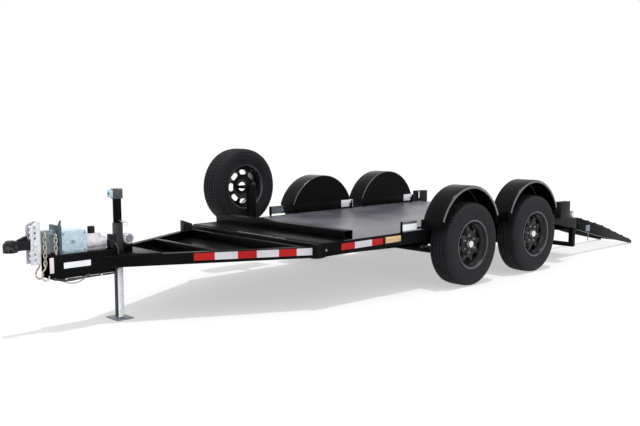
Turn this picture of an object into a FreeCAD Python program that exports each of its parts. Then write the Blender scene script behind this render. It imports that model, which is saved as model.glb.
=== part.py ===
import FreeCAD, Part
import Sketcher
import math
import os
from types import SimpleNamespace

# Tandem axle equipment trailer, millimetres. While it is modelled, X points forward with
# zero midway between the axles, Y points left with zero on the centre line, and Z is height
# above the ground. Every finished piece is then placed so that the row's origin is the
# bottom centre of the whole object's box.

doc = FreeCAD.newDocument("TandemAxleTrailer")
sheet = doc.addObject("Spreadsheet::Sheet", "Sizes")

SIZES = (
    # name, value: tyres, wheels and hubs
    ("axleSpacing", 936),
    ("tyreRadius", 344),
    ("tyreWidth", 204),
    ("tyreGap", 17),
    ("rimSeat", 192),
    ("rimWall", 6),
    ("beadHalf", 92),
    ("beadClearance", 0.3),
    ("flangeRadius", 206),
    ("flangeThick", 6),
    ("discOffset", 34),
    ("discThick", 6),
    ("padRadius", 92),
    ("dishFace", 59),
    ("dishInner", 106),
    ("dishOuter", 166),
    ("windowInner", 112),
    ("windowOuter", 160),
    ("windowFoot", 34),
    ("windowHead", 52),
    ("windowCount", 8),
    ("hubBore", 42),
    ("hubReach", 26),
    ("drumRadius", 135),
    ("drumDepth", 80),
    ("capRadius", 31),
    ("capReach", 78),
    # deck and its rails
    ("deckHalf", 783),
    ("deckTop", 484),
    ("deckThick", 5),
    ("railDepth", 96),
    ("railFlange", 42),
    ("railWall", 6),
    ("deckFront", 1990),
    ("tailStart", 1000),
    ("tailLength", 560),
    ("tailDrop", 111),
    ("tailThick", 12),
    ("crossDepth", 76),
    ("crossWidth", 40),
    ("crossWall", 5),
    ("crossCount", 5),
    ("crossFirst", 1350),
    ("crossPitch", 560),
    ("stopInset", 239),
    ("stopDepth", 87),
    ("stopHeight", 68),
    ("stopWall", 5),
    # tongue and nose
    ("tongueStep", 25),
    ("tongueDepth", 80),
    ("tongueWidth", 50),
    ("tongueWall", 7),
    ("tongueRun", 1350),
    ("tongueFan", 687),
    ("tieFirst", 30),
    ("tiePitch", 530),
    ("tieInset", 10),
    ("plateThick", 6),
    ("plateTail", 190),
    ("plateWing", 40),
    ("noseHalf", 80),
    ("noseRear", 3225),
    ("noseLength", 447),
    ("noseDrop", 115),
    ("noseHeight", 155),
    ("noseWall", 6),
    # jack
    ("jackInset", 69),
    ("jackTube", 52),
    ("jackWall", 3),
    ("jackHang", 59),
    ("jackRise", 204),
    ("jackNeck", 29),
    ("neckLength", 167),
    ("jackCap", 65),
    ("jackCapRadius", 41),
    ("stubRadius", 9),
    ("stubReach", 22),
    ("crankRadius", 7),
    ("crankReach", 84),
    ("canRadius", 38),
    ("canInner", 8),
    ("canLength", 44),
    ("canHeight", 92),
    ("legClearance", 0.3),
    ("footWidth", 155),
    ("footLength", 125),
    ("legGap", 4),
    ("footThick", 10),
    # brake actuator on the nose
    ("actuatorLength", 179),
    ("actuatorHalf", 58),
    ("actuatorHeight", 148),
    ("frontInset", 76),
    ("frontThick", 20),
    ("frontWing", 10),
    ("frontHeight", 186),
    ("leverHeight", 34),
    ("leverThick", 8),
    ("slideHalf", 30),
    ("slideRise", 14),
    ("slideHeight", 142),
    ("cylinderRadius", 42),
    ("cylinderLength", 155),
    ("cylinderGap", 4),
    ("tankInset", 40),
    ("tankHalf", 36),
    ("tankHeight", 66),
    ("reservoirCap", 24),
    ("capHeight", 46),
    # channel and ball coupler
    ("channelGap", 52),
    ("channelDepth", 66),
    ("channelHalf", 38),
    ("channelRise", 103),
    ("channelHeight", 270),
    ("channelWall", 8),
    ("channelCut", 26),
    ("channelHoles", 7),
    ("channelPitch", 34),
    ("channelHole", 8),
    ("couplerLength", 226),
    ("couplerHead", 45),
    ("couplerRise", 194),
    ("couplerHeight", 50),
    ("crownHeight", 24),
    ("crownRadius", 27),
    ("shankHeight", 60),
    ("ballBore", 30),
    ("ballDepth", 34),
    ("latchHalf", 12),
    ("latchHeight", 26),
    # safety chains
    ("linkLength", 40),
    ("linkWidth", 27),
    ("linkWire", 7),
    ("linkCount", 8),
    ("tailLinks", 5),
    ("linkClearance", 0.3),
    ("chainInset", 24),
    ("chainSpacing", 60),
    ("chainPin", 4),
    ("chainPinDrop", 15),
    ("hookLength", 112),
    ("hookHalf", 30),
    ("hookThick", 9),
    # fenders and their braces
    ("fenderGap", 2),
    ("fenderWidth", 195),
    ("fenderRadius", 410),
    ("fenderRise", 73),
    ("fenderSkirt", 78),
    ("fenderThick", 3),
    ("lipDepth", 24),
    ("braceHeight", 50),
    ("braceWidth", 25),
    ("braceWall", 4),
    ("braceInset", 15),
    ("braceRoot", 23),
    ("leafThin", 5),
    ("sideGap", 110),
    ("sideLength", 170),
    ("sideHeight", 72),
    ("sideRise", 12),
    ("sideReach", 20),
    ("sideThick", 5),
    # axles and springs
    ("axleTube", 30),
    ("axleDrop", 92),
    ("spindleRadius", 20),
    ("riserThick", 18),
    ("riserHalf", 26),
    ("riserGap", 14),
    ("springInset", 43),
    ("springWidth", 45),
    ("springSpan", 660),
    ("leafThick", 8),
    ("leafCount", 3),
    ("leafStep", 73),
    ("eyeDrop", 6),
    ("eyeRadius", 16),
    ("hangerHalf", 27),
    ("hangerThick", 6),
    ("hangerDrop", 22),
    ("rockerDepth", 19),
    ("shackleHalf", 12),
    # spare wheel
    ("spareGap", 207),
    ("sparePlace", 1335),
    ("spareRise", 273),
    ("sparePost", 64),
    ("spareArm", 60),
    ("armHalf", 12),
    # tail: guard, lamps and ramps
    ("guardInset", 30),
    ("guardSize", 50),
    ("guardBar", 40),
    ("guardBottom", 92),
    ("guardSide", 5),
    ("lampGap", 62),
    ("lampInset", 152),
    ("lampLength", 170),
    ("lampHeight", 160),
    ("lampDrop", 60),
    ("lampDepth", 70),
    ("rampRun", 1190),
    ("rampInset", 13),
    ("rampWidth", 400),
    ("rampDepth", 120),
    ("rampTip", 34),
    ("rampWall", 40),
    ("rampKnee", 485),
    ("rampKneeDrop", 118),
    ("rampHeel", 34),
    ("rungCount", 8),
    ("rungSize", 26),
    ("rungSink", 4),
    ("pivotGap", 40),
    ("pivotSink", 6),
    ("pinRadius", 10),
    ("pinClearance", 0.3),
    ("sleeveWall", 9),
    ("lugThick", 12),
    ("lugHalf", 14),
    ("lugGap", 0.6),
    ("pinProud", 4),
)
for row, (alias, value) in enumerate(SIZES, 1):
    sheet.set("A%d" % row, alias)
    sheet.set("B%d" % row, str(value))
    sheet.setAlias("B%d" % row, alias)
doc.recompute()


class Size:
    """A number, together with the expression that gives it from the sheet."""

    def __init__(self, value, text):
        self.value = value
        self.text = text

    def __add__(self, other):
        other = size(other)
        return Size(self.value + other.value, "(%s + %s)" % (self.text, other.text))

    def __sub__(self, other):
        other = size(other)
        return Size(self.value - other.value, "(%s - %s)" % (self.text, other.text))

    def __mul__(self, other):
        other = size(other)
        return Size(self.value * other.value, "(%s * %s)" % (self.text, other.text))

    def __truediv__(self, other):
        other = size(other)
        return Size(self.value / other.value, "(%s / %s)" % (self.text, other.text))

    def __rsub__(self, other):
        return size(other) - self

    def __neg__(self):
        return self * -1

    __radd__ = __add__
    __rmul__ = __mul__


def size(item):
    return item if isinstance(item, Size) else Size(float(item), "(%s)" % item)


def root(item):
    return Size(math.sqrt(item.value), "sqrt(%s)" % item.text)


s = SimpleNamespace(**{alias: Size(float(sheet.get(alias)), "Sizes." + alias) for alias, value in SIZES})
Vector = FreeCAD.Vector
UP = Vector(0, 0, 1)
LATERAL = Vector(0, 1, 0)
FORWARD = Vector(1, 0, 0)
NONE = size(0)
SIDES = (("left", 1), ("right", -1))
AXLES = (("front", s.axleSpacing / 2), ("rear", -s.axleSpacing / 2))

# places that more than one piece lines up with
tailEnd = s.tailStart + s.tailLength
railTop = s.deckTop - s.deckThick
railBottom = railTop - s.railDepth
tongueTop = s.deckTop - s.tongueStep
tongueBottom = tongueTop - s.tongueDepth
noseFront = s.noseRear + s.noseLength
noseBottom = tongueTop - s.noseDrop
noseTop = noseBottom + s.noseHeight
channelBack = noseFront + s.channelGap
couplerReach = channelBack + s.couplerLength
tyreInner = s.deckHalf + s.tyreGap
tyreFace = tyreInner + s.tyreWidth
wheelPlace = tyreFace - s.tyreWidth / 2
rampPivot = tailEnd + s.pivotGap
rampReach = rampPivot + s.rampRun
spareReach = s.deckHalf + s.spareGap

# the row's origin, in the modelling frame
originX = (couplerReach - rampReach) / 2
originY = (tyreFace - spareReach - s.tyreWidth / 2) / 2

pieces = []


def bind(item, **sizes):
    for name, value in sizes.items():
        item.setExpression(name, size(value).text)


def place(item, x, y, z):
    for axis, value in zip("xyz", (x, y, z)):
        item.setExpression("Placement.Base." + axis, size(value).text)
    return item


def keep(item, label, at=(NONE, NONE, NONE)):
    """the finished piece, placed in the row's frame"""
    item.Label = label
    pieces.append(item)
    return place(item, at[0] - originX, at[1] - originY, at[2])


def block(name, x0, x1, y0, y1, z0, z1):
    """a box between two corners, the second one further along every axis"""
    item = doc.addObject("Part::Box", name)
    bind(item, Length=size(x1) - x0, Width=size(y1) - y0, Height=size(z1) - z0)
    return place(item, x0, y0, z0)


def across(name, side, x0, x1, y0, y1, z0, z1):
    """a box on one side, from y0 out to y1"""
    low, high = (y0, y1) if side > 0 else (-size(y1), -size(y0))
    return block(name, x0, x1, low, high, z0, z1)


def rod(name, radius, length, x, y, z, axis=UP):
    item = doc.addObject("Part::Cylinder", name)
    item.Placement = FreeCAD.Placement(Vector(), FreeCAD.Rotation(UP, axis))
    bind(item, Radius=radius, Height=length)
    return place(item, x, y, z)


def cone(name, wide, narrow, height, x, y, z):
    item = doc.addObject("Part::Cone", name)
    bind(item, Radius1=wide, Radius2=narrow, Height=height)
    return place(item, x, y, z)


def joined(name, items):
    item = doc.addObject("Part::MultiFuse", name)
    item.Shapes = items
    item.Refine = True
    return item


def grouped(name, items):
    """solids that share a node without touching"""
    item = doc.addObject("Part::Compound", name)
    item.Links = items
    return item


def without(name, base, tool):
    item = doc.addObject("Part::Cut", name)
    item.Base = base
    item.Tool = tool
    return item


def common(name, base, tool):
    item = doc.addObject("Part::Common", name)
    item.Base = base
    item.Tool = tool
    return item


def outline(body, name, plane, offset, points):
    """a sketch of straight lines whose corners are bound to sizes, on a plane of the body"""
    sketch = body.newObject("Sketcher::SketchObject", name)
    support = [item for item in body.Origin.OriginFeatures if item.Role == plane + "_Plane"]
    sketch.AttachmentSupport = [(support[0], "")]
    sketch.MapMode = "FlatFace"
    sketch.setExpression("AttachmentOffset.Base.z", size(offset).text)
    corners = [(size(a), size(b)) for a, b in points]
    for (a, b), (c, d) in zip(corners, corners[1:] + corners[:1]):
        sketch.addGeometry(Part.LineSegment(Vector(a.value, b.value, 0), Vector(c.value, d.value, 0)))
    for number, (a, b) in enumerate(corners):
        following = (number + 1) % len(corners)
        sketch.addConstraint(Sketcher.Constraint("Coincident", number, 2, following, 1))
        for kind, value in (("DistanceX", a), ("DistanceY", b)):
            index = sketch.addConstraint(Sketcher.Constraint(kind, -1, 1, number, 1, value.value))
            sketch.setExpression("Constraints[%d]" % index, value.text)
    return sketch


def prism(name, plane, points, start, end):
    """a body padded from an outline, between two places along the plane's normal axis"""
    body = doc.addObject("PartDesign::Body", name)
    lateral = plane == "XZ"
    sketch = outline(body, name + "Outline", plane, -size(start) if lateral else start, points)
    pad = body.newObject("PartDesign::Pad", name + "Pad")
    pad.Profile = sketch
    pad.Reversed = lateral
    pad.setExpression("Length", (size(end) - start).text)
    return body


def side_prism(name, side, points, y0, y1):
    low, high = (size(y0), size(y1)) if side > 0 else (-size(y1), -size(y0))
    return prism(name, "XZ", points, low, high)


def turned(name, points):
    """a body turned about its own lateral axis from (offset, radius) points"""
    body = doc.addObject("PartDesign::Body", name)
    sketch = outline(body, name + "Outline", "YZ", 0, points)
    turn = body.newObject("PartDesign::Revolution", name + "Turn")
    turn.Profile = sketch
    turn.ReferenceAxis = (sketch, ["H_Axis"])
    turn.Angle = 360
    return body


# Side rails: channels open inwards, straight under the deck and sloping down along the tail.

def tail_band(top, bottom):
    return [
        (s.deckFront, top), (-s.tailStart, top), (-tailEnd, top - s.tailDrop),
        (-tailEnd, bottom - s.tailDrop), (-s.tailStart, bottom), (s.deckFront, bottom)]


for name, side in SIDES:
    full = side_prism(
        "rail_" + name, side, tail_band(railTop, railBottom), s.deckHalf - s.railFlange, s.deckHalf)
    hollow = side_prism(
        "railHollow_" + name, side, tail_band(railTop - s.railWall, railBottom + s.railWall),
        s.deckHalf - s.railFlange, s.deckHalf - s.railWall)
    keep(without("railCut_" + name, full, hollow), "side_rail_" + name)

# The deck sheet is bent down along the tail.
keep(prism("deck", "XZ", tail_band(s.deckTop, railTop), -s.deckHalf, s.deckHalf), "deck_plate")

# Cross members: channels under the deck, between the rails' flanges.
members = []
for number in range(int(s.crossCount.value)):
    back = s.crossFirst - s.crossPitch * number
    front = back + s.crossWidth
    low = railTop - s.crossDepth
    clear = s.deckHalf - s.railFlange
    section = [
        (back, low), (front, low), (front, low + s.crossWall), (back + s.crossWall, low + s.crossWall),
        (back + s.crossWall, railTop - s.crossWall), (front, railTop - s.crossWall), (front, railTop),
        (back, railTop)]
    members.append(prism("crossMember%d" % number, "XZ", section, -clear, clear))
keep(grouped("crossMembers", members), "cross_members")

# Closing members at both ends of the deck.
tailTop = railTop - s.tailDrop
tongueBack = s.deckFront + s.crossWidth
keep(grouped("endMembers", [
    block("headMember", s.deckFront, tongueBack, -s.deckHalf, s.deckHalf, railBottom, railTop),
    block(
        "tailMember", -tailEnd - s.tailThick, -tailEnd, -s.deckHalf, s.deckHalf,
        tailTop - s.railDepth, tailTop),
]), "end_members")

# Wheel stop across the front of the deck, a tube with open ends.
stopBack = s.deckFront - s.stopInset - s.stopDepth
keep(without(
    "stop",
    block(
        "stopOuter", stopBack, stopBack + s.stopDepth, -s.deckHalf, s.deckHalf,
        s.deckTop, s.deckTop + s.stopHeight),
    block(
        "stopInner", stopBack + s.stopWall, stopBack + s.stopDepth - s.stopWall, -s.deckHalf, s.deckHalf,
        s.deckTop + s.stopWall, s.deckTop + s.stopHeight - s.stopWall)), "stop_rail")

# Tongue rails: channels open inwards, fanning out from the nose to the head member.
fanLength = root(s.tongueRun * s.tongueRun + s.tongueFan * s.tongueFan)
fanSlope = s.tongueFan / s.tongueRun
skew = s.tongueWidth * fanLength / s.tongueRun
wallSkew = s.tongueWall * fanLength / s.tongueRun
noseTip = s.noseRear + s.tongueWidth * fanLength / s.tongueFan


def tongue_outer(x):
    """half width over the tongue's outer faces"""
    return s.noseHalf + (noseTip - x) * fanSlope


for name, side in SIDES:
    full = prism("tongue_" + name, "XY", [
        (tongueBack, tongue_outer(tongueBack) * side), (noseTip, s.noseHalf * side),
        (s.noseRear, s.noseHalf * side), (tongueBack, (tongue_outer(tongueBack) - skew) * side)],
        tongueBottom, tongueTop)
    mouth = s.noseRear - s.tongueRun / 8
    hollow = prism("tongueHollow_" + name, "XY", [
        (tongueBack, (tongue_outer(tongueBack) - wallSkew) * side),
        (mouth, (tongue_outer(mouth) - wallSkew) * side), (mouth, (tongue_outer(mouth) - skew) * side),
        (tongueBack, (tongue_outer(tongueBack) - skew) * side)],
        tongueBottom + s.tongueWall, tongueTop - s.tongueWall)
    keep(without("tongueCut_" + name, full, hollow), "tongue_rail_" + name)

# Ties across the inside of the tongue.
ties = []
for number in range(2):
    back = tongueBack + s.tieFirst + s.tiePitch * number
    front = back + s.crossWidth
    ties.append(prism("tie%d" % number, "XY", [
        (back, tongue_outer(back) - skew), (front, tongue_outer(front) - skew),
        (front, skew - tongue_outer(front)), (back, skew - tongue_outer(back))],
        tongueBottom + s.tieInset, tongueTop))
keep(grouped("ties", ties), "tongue_ties")

# Plate on the tongue that the jack stands in.
jackPlace = s.noseRear - s.jackInset
plateBack = jackPlace - s.plateTail
jackHalf = s.jackTube / 2
plate = prism("tongueSheet", "XY", [
    (plateBack, tongue_outer(plateBack) - s.tieInset), (s.noseRear, s.noseHalf + s.plateWing),
    (s.noseRear, -s.noseHalf - s.plateWing), (plateBack, s.tieInset - tongue_outer(plateBack))],
    tongueTop, tongueTop + s.plateThick)
socket = block(
    "jackSocket", jackPlace - jackHalf, jackPlace + jackHalf, -jackHalf, jackHalf,
    tongueTop, tongueTop + s.plateThick)
keep(without("tongueSheetCut", plate, socket), "tongue_plate")

# Nose: a box section open at both ends.
keep(without(
    "noseBox",
    block("noseOuter", s.noseRear, noseFront, -s.noseHalf, s.noseHalf, noseBottom, noseTop),
    block(
        "noseInner", s.noseRear, noseFront, s.noseWall - s.noseHalf, s.noseHalf - s.noseWall,
        noseBottom + s.noseWall, noseTop - s.noseWall)), "nose")

# Jack on the centre line: square housing, round tube, cap with a stub, and the drop leg.
jackBottom = tongueTop - s.jackHang
jackMiddle = tongueTop + s.jackRise
capBottom = jackMiddle + s.neckLength
capTop = capBottom + s.jackCap
bore = jackHalf - s.jackWall
keep(without(
    "jackHousing",
    block(
        "jackOuter", jackPlace - jackHalf, jackPlace + jackHalf, -jackHalf, jackHalf,
        jackBottom, jackMiddle),
    block("jackBore", jackPlace - bore, jackPlace + bore, -bore, bore, jackBottom, jackMiddle - s.jackWall)),
    "jack_housing")
keep(
    rod("jackNeckTube", s.jackNeck, s.neckLength, NONE, NONE, NONE),
    "jack_tube", (jackPlace, NONE, jackMiddle))
head = joined("jackCapAndStub", [
    rod("jackCapRod", s.jackCapRadius, s.jackCap, jackPlace, 0, capBottom),
    rod(
        "jackStub", s.stubRadius, s.jackCapRadius + s.stubReach, jackPlace, 0, capTop - s.jackCap / 2,
        FORWARD)])
crank = rod(
    "jackCrank", s.crankRadius, s.crankReach, jackPlace, s.jackNeck, jackMiddle + s.crankRadius * 2, LATERAL)
can = rod(
    "jackCan", s.canRadius, s.canLength, jackPlace - jackHalf - s.canRadius, -s.canInner,
    tongueTop + s.canHeight, LATERAL)
keep(grouped("jackHead", [head, crank, can]), "jack_head")
legHalf = bore - s.legClearance
legTop = tongueTop - s.legGap
leg = block("legBar", jackPlace - legHalf, jackPlace + legHalf, -legHalf, legHalf, s.footThick, legTop)
foot = block(
    "legFoot", jackPlace - s.footLength / 2, jackPlace + s.footLength / 2, -s.footWidth / 2, s.footWidth / 2,
    0, s.footThick)
keep(joined("jackLeg", [leg, foot]), "jack_leg")

# Brake actuator: housing, front plate with its lever, and the slide that carries the channel.
plateX = noseFront - s.frontInset
plateFront = plateX + s.frontThick
actuatorRear = plateX - s.actuatorLength
plateTop = noseTop + s.frontHeight
slideBottom = noseTop + s.slideRise
slideTop = slideBottom + s.slideHeight
linkStep = s.linkLength - s.linkWire * 2 - s.linkClearance
linkHang = s.linkLength / 2 - s.linkWire
chainX = channelBack - s.chainInset
chainY = s.slideHalf + s.linkWidth / 2 + s.linkClearance
pinZ = slideTop - s.chainPinDrop
# a second bar lets the chain's other end come down to the nose
tailX = chainX - s.chainSpacing
tailY = chainY + s.linkWidth
tailPinZ = (
    noseTop + s.linkLength / 2 + linkStep * (s.tailLinks - 1) + linkHang - s.chainPin)
keep(joined("actuatorParts", [
    block(
        "actuatorBox", actuatorRear, plateX, -s.actuatorHalf, s.actuatorHalf,
        noseTop, noseTop + s.actuatorHeight),
    block(
        "actuatorPlate", plateX, plateFront, -s.actuatorHalf - s.frontWing, s.actuatorHalf + s.frontWing,
        noseTop, plateTop),
    prism("actuatorLever", "XZ", [
        (plateX, plateTop), (plateFront, plateTop), (plateX + s.frontThick / 4, plateTop + s.leverHeight),
        (plateX - s.leverThick / 2, plateTop + s.leverHeight)],
        s.actuatorHalf - s.leverThick, s.actuatorHalf),
    block("slide", plateFront, channelBack, -s.slideHalf, s.slideHalf, slideBottom, slideTop),
    rod("chainBar", s.chainPin, chainY * 2 + s.linkWidth, chainX, -chainY - s.linkWidth / 2, pinZ, LATERAL),
    rod("tailBar", s.chainPin, tailY * 2 + s.linkWidth, tailX, -tailY - s.linkWidth / 2, tailPinZ, LATERAL),
]), "actuator")

# Master cylinder behind the actuator, with its tank and cap.
cylinderRear = actuatorRear - s.cylinderLength
cylinderZ = noseTop + s.cylinderRadius + s.cylinderGap
tankBack = cylinderRear + s.tankInset
tankFront = actuatorRear - s.frontWing
tankTop = cylinderZ + s.tankHeight
keep(joined("masterCylinder", [
    rod("cylinderBarrel", s.cylinderRadius, s.cylinderLength, cylinderRear, 0, cylinderZ, FORWARD),
    block(
        "cylinderFoot", cylinderRear + s.frontWing, tankFront, -s.slideHalf, s.slideHalf,
        noseTop, cylinderZ),
    block("cylinderTank", tankBack, tankFront, -s.tankHalf, s.tankHalf, cylinderZ, tankTop),
]), "master_cylinder")
keep(rod("tankCap", s.reservoirCap, s.capHeight, NONE, NONE, NONE), "reservoir_cap",
     ((tankBack + tankFront) / 2, NONE, tankTop))

# Upright channel in front of the nose, its flanges holed for the coupler's bolts.
channelFront = channelBack + s.channelDepth
channelBottom = noseBottom + s.channelRise
channelTop = channelBottom + s.channelHeight
web = channelBack + s.channelWall
grip = s.channelHalf - s.channelWall
channelOuter = prism("channelOuter", "XZ", [
    (channelBack, channelBottom), (channelFront, channelBottom), (channelFront, channelTop - s.channelCut),
    (channelFront - s.channelCut, channelTop), (channelBack, channelTop)], -s.channelHalf, s.channelHalf)
channelTools = [block("channelInner", web, channelFront, -grip, grip, channelBottom, channelTop)]
firstHole = channelBottom + (s.channelHeight - s.channelPitch * (s.channelHoles - 1)) / 2
for number in range(int(s.channelHoles.value)):
    channelTools.append(rod(
        "channelHole%d" % number, s.channelHole, s.channelHalf * 2, (web + channelFront) / 2, -s.channelHalf,
        firstHole + s.channelPitch * number, LATERAL))
keep(without("channel", channelOuter, joined("channelTool", channelTools)), "coupler_channel")

# Ball coupler: a crowned head with its socket, on a shank between the channel's flanges.
headX = couplerReach - s.couplerHead
couplerBottom = noseBottom + s.couplerRise
crownBottom = couplerBottom + s.couplerHeight
shankBottom = couplerBottom + s.channelWall
shankTop = shankBottom + s.shankHeight
couplerSolid = joined("couplerSolid", [
    rod("couplerHeadRod", s.couplerHead, s.couplerHeight, headX, 0, couplerBottom),
    cone("couplerCrown", s.couplerHead, s.crownRadius, s.crownHeight, headX, 0, crownBottom),
    block("couplerShank", web, headX, -grip, grip, shankBottom, shankTop)])
socketTool = joined("socketTool", [
    rod("ballSocket", s.ballBore, s.ballDepth, headX, 0, couplerBottom),
    cone("ballCrown", s.ballBore, s.ballBore / 2, s.ballBore / 2, headX, 0, couplerBottom + s.ballDepth)])
keep(without("couplerCut", couplerSolid, socketTool), "coupler")
latchBack = channelFront + s.channelWall
latchFront = headX - s.couplerHead
keep(prism("latch", "XZ", [
    (latchBack, shankTop), (latchFront, shankTop), (latchFront, shankTop + s.latchHeight / 4),
    (latchBack + s.latchHalf, shankTop + s.latchHeight), (latchBack, shankTop + s.latchHeight)],
    -s.latchHalf, s.latchHalf), "coupler_latch")


# Safety chains: flat oval links hanging from the bar on the slide, with a hook at the end.

def ring_outline(middle, z, wide, high, corner):
    return [
        (middle - wide, z - high + corner), (middle - wide + corner, z - high),
        (middle + wide - corner, z - high), (middle + wide, z - high + corner),
        (middle + wide, z + high - corner), (middle + wide - corner, z + high),
        (middle - wide + corner, z + high), (middle - wide, z + high - corner)]


def link(name, plane, middle, centre, z):
    """one link whose flat faces are square to the plane's normal"""
    wide, high = s.linkWidth / 2, s.linkLength / 2
    start, end = centre - s.linkWire / 2, centre + s.linkWire / 2
    outer = prism(name + "Outer", plane, ring_outline(middle, z, wide, high, s.linkWire), start, end)
    inner = prism(
        name + "Inner", plane, ring_outline(middle, z, wide - s.linkWire, high - s.linkWire, s.linkWire / 4),
        start, end)
    return without(name, outer, inner)


def strand(tag, x, y, pin, count):
    """links hanging from a bar, every second one turned, and the height of the last one"""
    links = []
    z = pin + s.chainPin + s.linkClearance - linkHang
    for number in range(int(count.value)):
        if number % 2:
            links.append(link("%s%d" % (tag, number), "YZ", y, x, z))
        else:
            links.append(link("%s%d" % (tag, number), "XZ", x, y, z))
        z = z - linkStep
    return links, z + linkStep


for name, side in SIDES:
    links, last = strand("link_%s_" % name, chainX, chainY * side, pinZ, s.linkCount)
    links += strand("tailLink_%s_" % name, tailX, tailY * side, tailPinZ, s.tailLinks)[0]
    # the hook's eye rides on the last link's lower bow
    plane = ("XZ", "YZ")[int(s.linkCount.value) % 2]
    middle, other = (chainX, chainY * side) if plane == "XZ" else (chainY * side, chainX)
    top = last - linkHang + s.linkWire + s.linkClearance
    w, t, far = s.hookHalf, s.hookThick, top - s.hookLength
    hook = prism("hookBlank_" + name, plane, [
        (middle - t, top), (middle + t, top), (middle + t, top - t * 3), (middle + w, top - t * 6),
        (middle + w, far + t * 2), (middle + t, far), (middle - t, far), (middle - w, far + t * 2),
        (middle - w, far + t * 4), (middle - w + t, far + t * 4), (middle - w + t, far + t * 2.5),
        (middle - t / 2, far + t * 1.5), (middle + t / 2, far + t * 1.5), (middle + w - t, far + t * 2.5),
        (middle + w - t, top - t * 6), (middle - t, top - t * 3)],
        other - s.linkWire / 2, other + s.linkWire / 2)
    eye = prism("hookEye_" + name, plane, [
        (middle - t / 2, top - s.linkWire), (middle + t / 2, top - s.linkWire),
        (middle + t / 2, top - t * 2), (middle - t / 2, top - t * 2)],
        other - s.linkWire / 2, other + s.linkWire / 2)
    links.append(without("hook_" + name, hook, eye))
    keep(grouped("chain_" + name, links), "safety_chain_" + name)

# Fenders: arched shells, closed towards the deck, with a lip hanging down on the outside.
fenderInner = s.deckHalf + s.fenderGap
fenderOuter = fenderInner + s.fenderWidth
fenderCentre = s.tyreRadius + s.fenderRise
fenderEnd = s.deckTop + s.fenderSkirt
fenderHalf = root(s.fenderRadius * s.fenderRadius - (fenderEnd - fenderCentre) * (fenderEnd - fenderCentre))


def lateral_rod(name, side, radius, x, z, y0, y1):
    """a cylinder across, on one side, from y0 out to y1"""
    low = y0 if side > 0 else -size(y1)
    return rod(name, radius, size(y1) - y0, x, low, z, LATERAL)


for end, x in AXLES:
    for name, side in SIDES:
        tag = "%s_%s" % (end, name)
        room = across(
            "fenderRoom_" + tag, side, x - s.fenderRadius, x + s.fenderRadius, fenderInner, fenderOuter,
            fenderEnd, fenderCentre + s.fenderRadius)
        full = lateral_rod(
            "fenderFull_" + tag, side, s.fenderRadius, x, fenderCentre, fenderInner, fenderOuter)
        inside = lateral_rod(
            "fenderInside_" + tag, side, s.fenderRadius - s.fenderThick, x, fenderCentre,
            fenderInner + s.fenderThick, fenderOuter - s.fenderThick)
        mouth = lateral_rod(
            "fenderMouth_" + tag, side, s.fenderRadius - s.lipDepth, x, fenderCentre,
            fenderOuter - s.fenderThick, fenderOuter)
        arch = common("fenderArch_" + tag, full, room)
        keep(without("fender_" + tag, arch, joined("fenderTool_" + tag, [inside, mouth])), "fender_" + tag)

# Braces: open square tubes from the side rails out under each fender's ends, with a thin
# leaf that the fender is bolted to.
for name, side in SIDES:
    braces = []
    for end, x in AXLES:
        for way in (1, -1):
            tag = "%s_%s_%d" % (name, end, way)
            edge = x + fenderHalf * way
            back = edge - s.braceWidth if way > 0 else edge
            y0, y1 = s.deckHalf - s.braceRoot, fenderOuter - s.braceInset
            top = s.deckTop + s.braceHeight
            tube = across("brace_" + tag, side, back, back + s.braceWidth, y0, y1, s.deckTop, top)
            hollow = across(
                "braceHollow_" + tag, side, back + s.braceWall, back + s.braceWidth - s.braceWall, y0, y1,
                s.deckTop + s.braceWall, top - s.braceWall)
            thin = edge - s.leafThin if way > 0 else edge
            leaf = across("braceLeaf_" + tag, side, thin, thin + s.leafThin, y0, y1, top, fenderEnd)
            braces.append(joined("braceAll_" + tag, [without("braceTube_" + tag, tube, hollow), leaf]))
    keep(grouped("braces_" + name, braces), "fender_braces_" + name)

# Bright plates ahead of the front fenders, on a stem from the brace and a post on the rail.
sideBack = s.axleSpacing / 2 + fenderHalf + s.sideGap
sideFront = sideBack + s.sideLength
sideBottom = s.deckTop + s.sideRise
sidePlates = []
for name, side in SIDES:
    y0 = s.deckHalf + s.sideReach
    sidePlates.append(joined("sidePlate_" + name, [
        across(
            "sideSheet_" + name, side, sideBack, sideFront, y0, y0 + s.sideThick,
            sideBottom, sideBottom + s.sideHeight),
        across(
            "sideStem_" + name, side, s.axleSpacing / 2 + fenderHalf, sideBack + s.sideGap / 4,
            y0 - s.sideThick * 2, y0, s.deckTop + s.braceHeight / 4, sideBottom + s.sideThick * 3),
        across(
            "sidePost_" + name, side, sideFront - s.sideThick * 2, sideFront, s.deckHalf, y0,
            railTop - s.railDepth / 2, sideBottom + s.sideHeight)]))
keep(grouped("sidePlates", sidePlates), "side_plates")

# Axles: a dropped round beam with upright ends that carry the spindles.
beamZ = s.tyreRadius - s.axleDrop
riserOuter = tyreInner - s.riserGap
riserInner = riserOuter - s.riserThick
for end, x in AXLES:
    parts = [rod("beam_" + end, s.axleTube, riserOuter * 2, x, -riserOuter, beamZ, LATERAL)]
    for name, side in SIDES:
        tag = "%s_%s" % (end, name)
        parts.append(across(
            "riser_" + tag, side, x - s.riserHalf, x + s.riserHalf, riserInner, riserOuter,
            beamZ - s.axleTube, s.tyreRadius + s.axleTube))
        parts.append(lateral_rod(
            "spindle_" + tag, side, s.spindleRadius, x, s.tyreRadius, riserInner,
            wheelPlace + s.discOffset + s.discThick))
    keep(joined("axle_" + end, parts), "axle_" + end)

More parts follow.
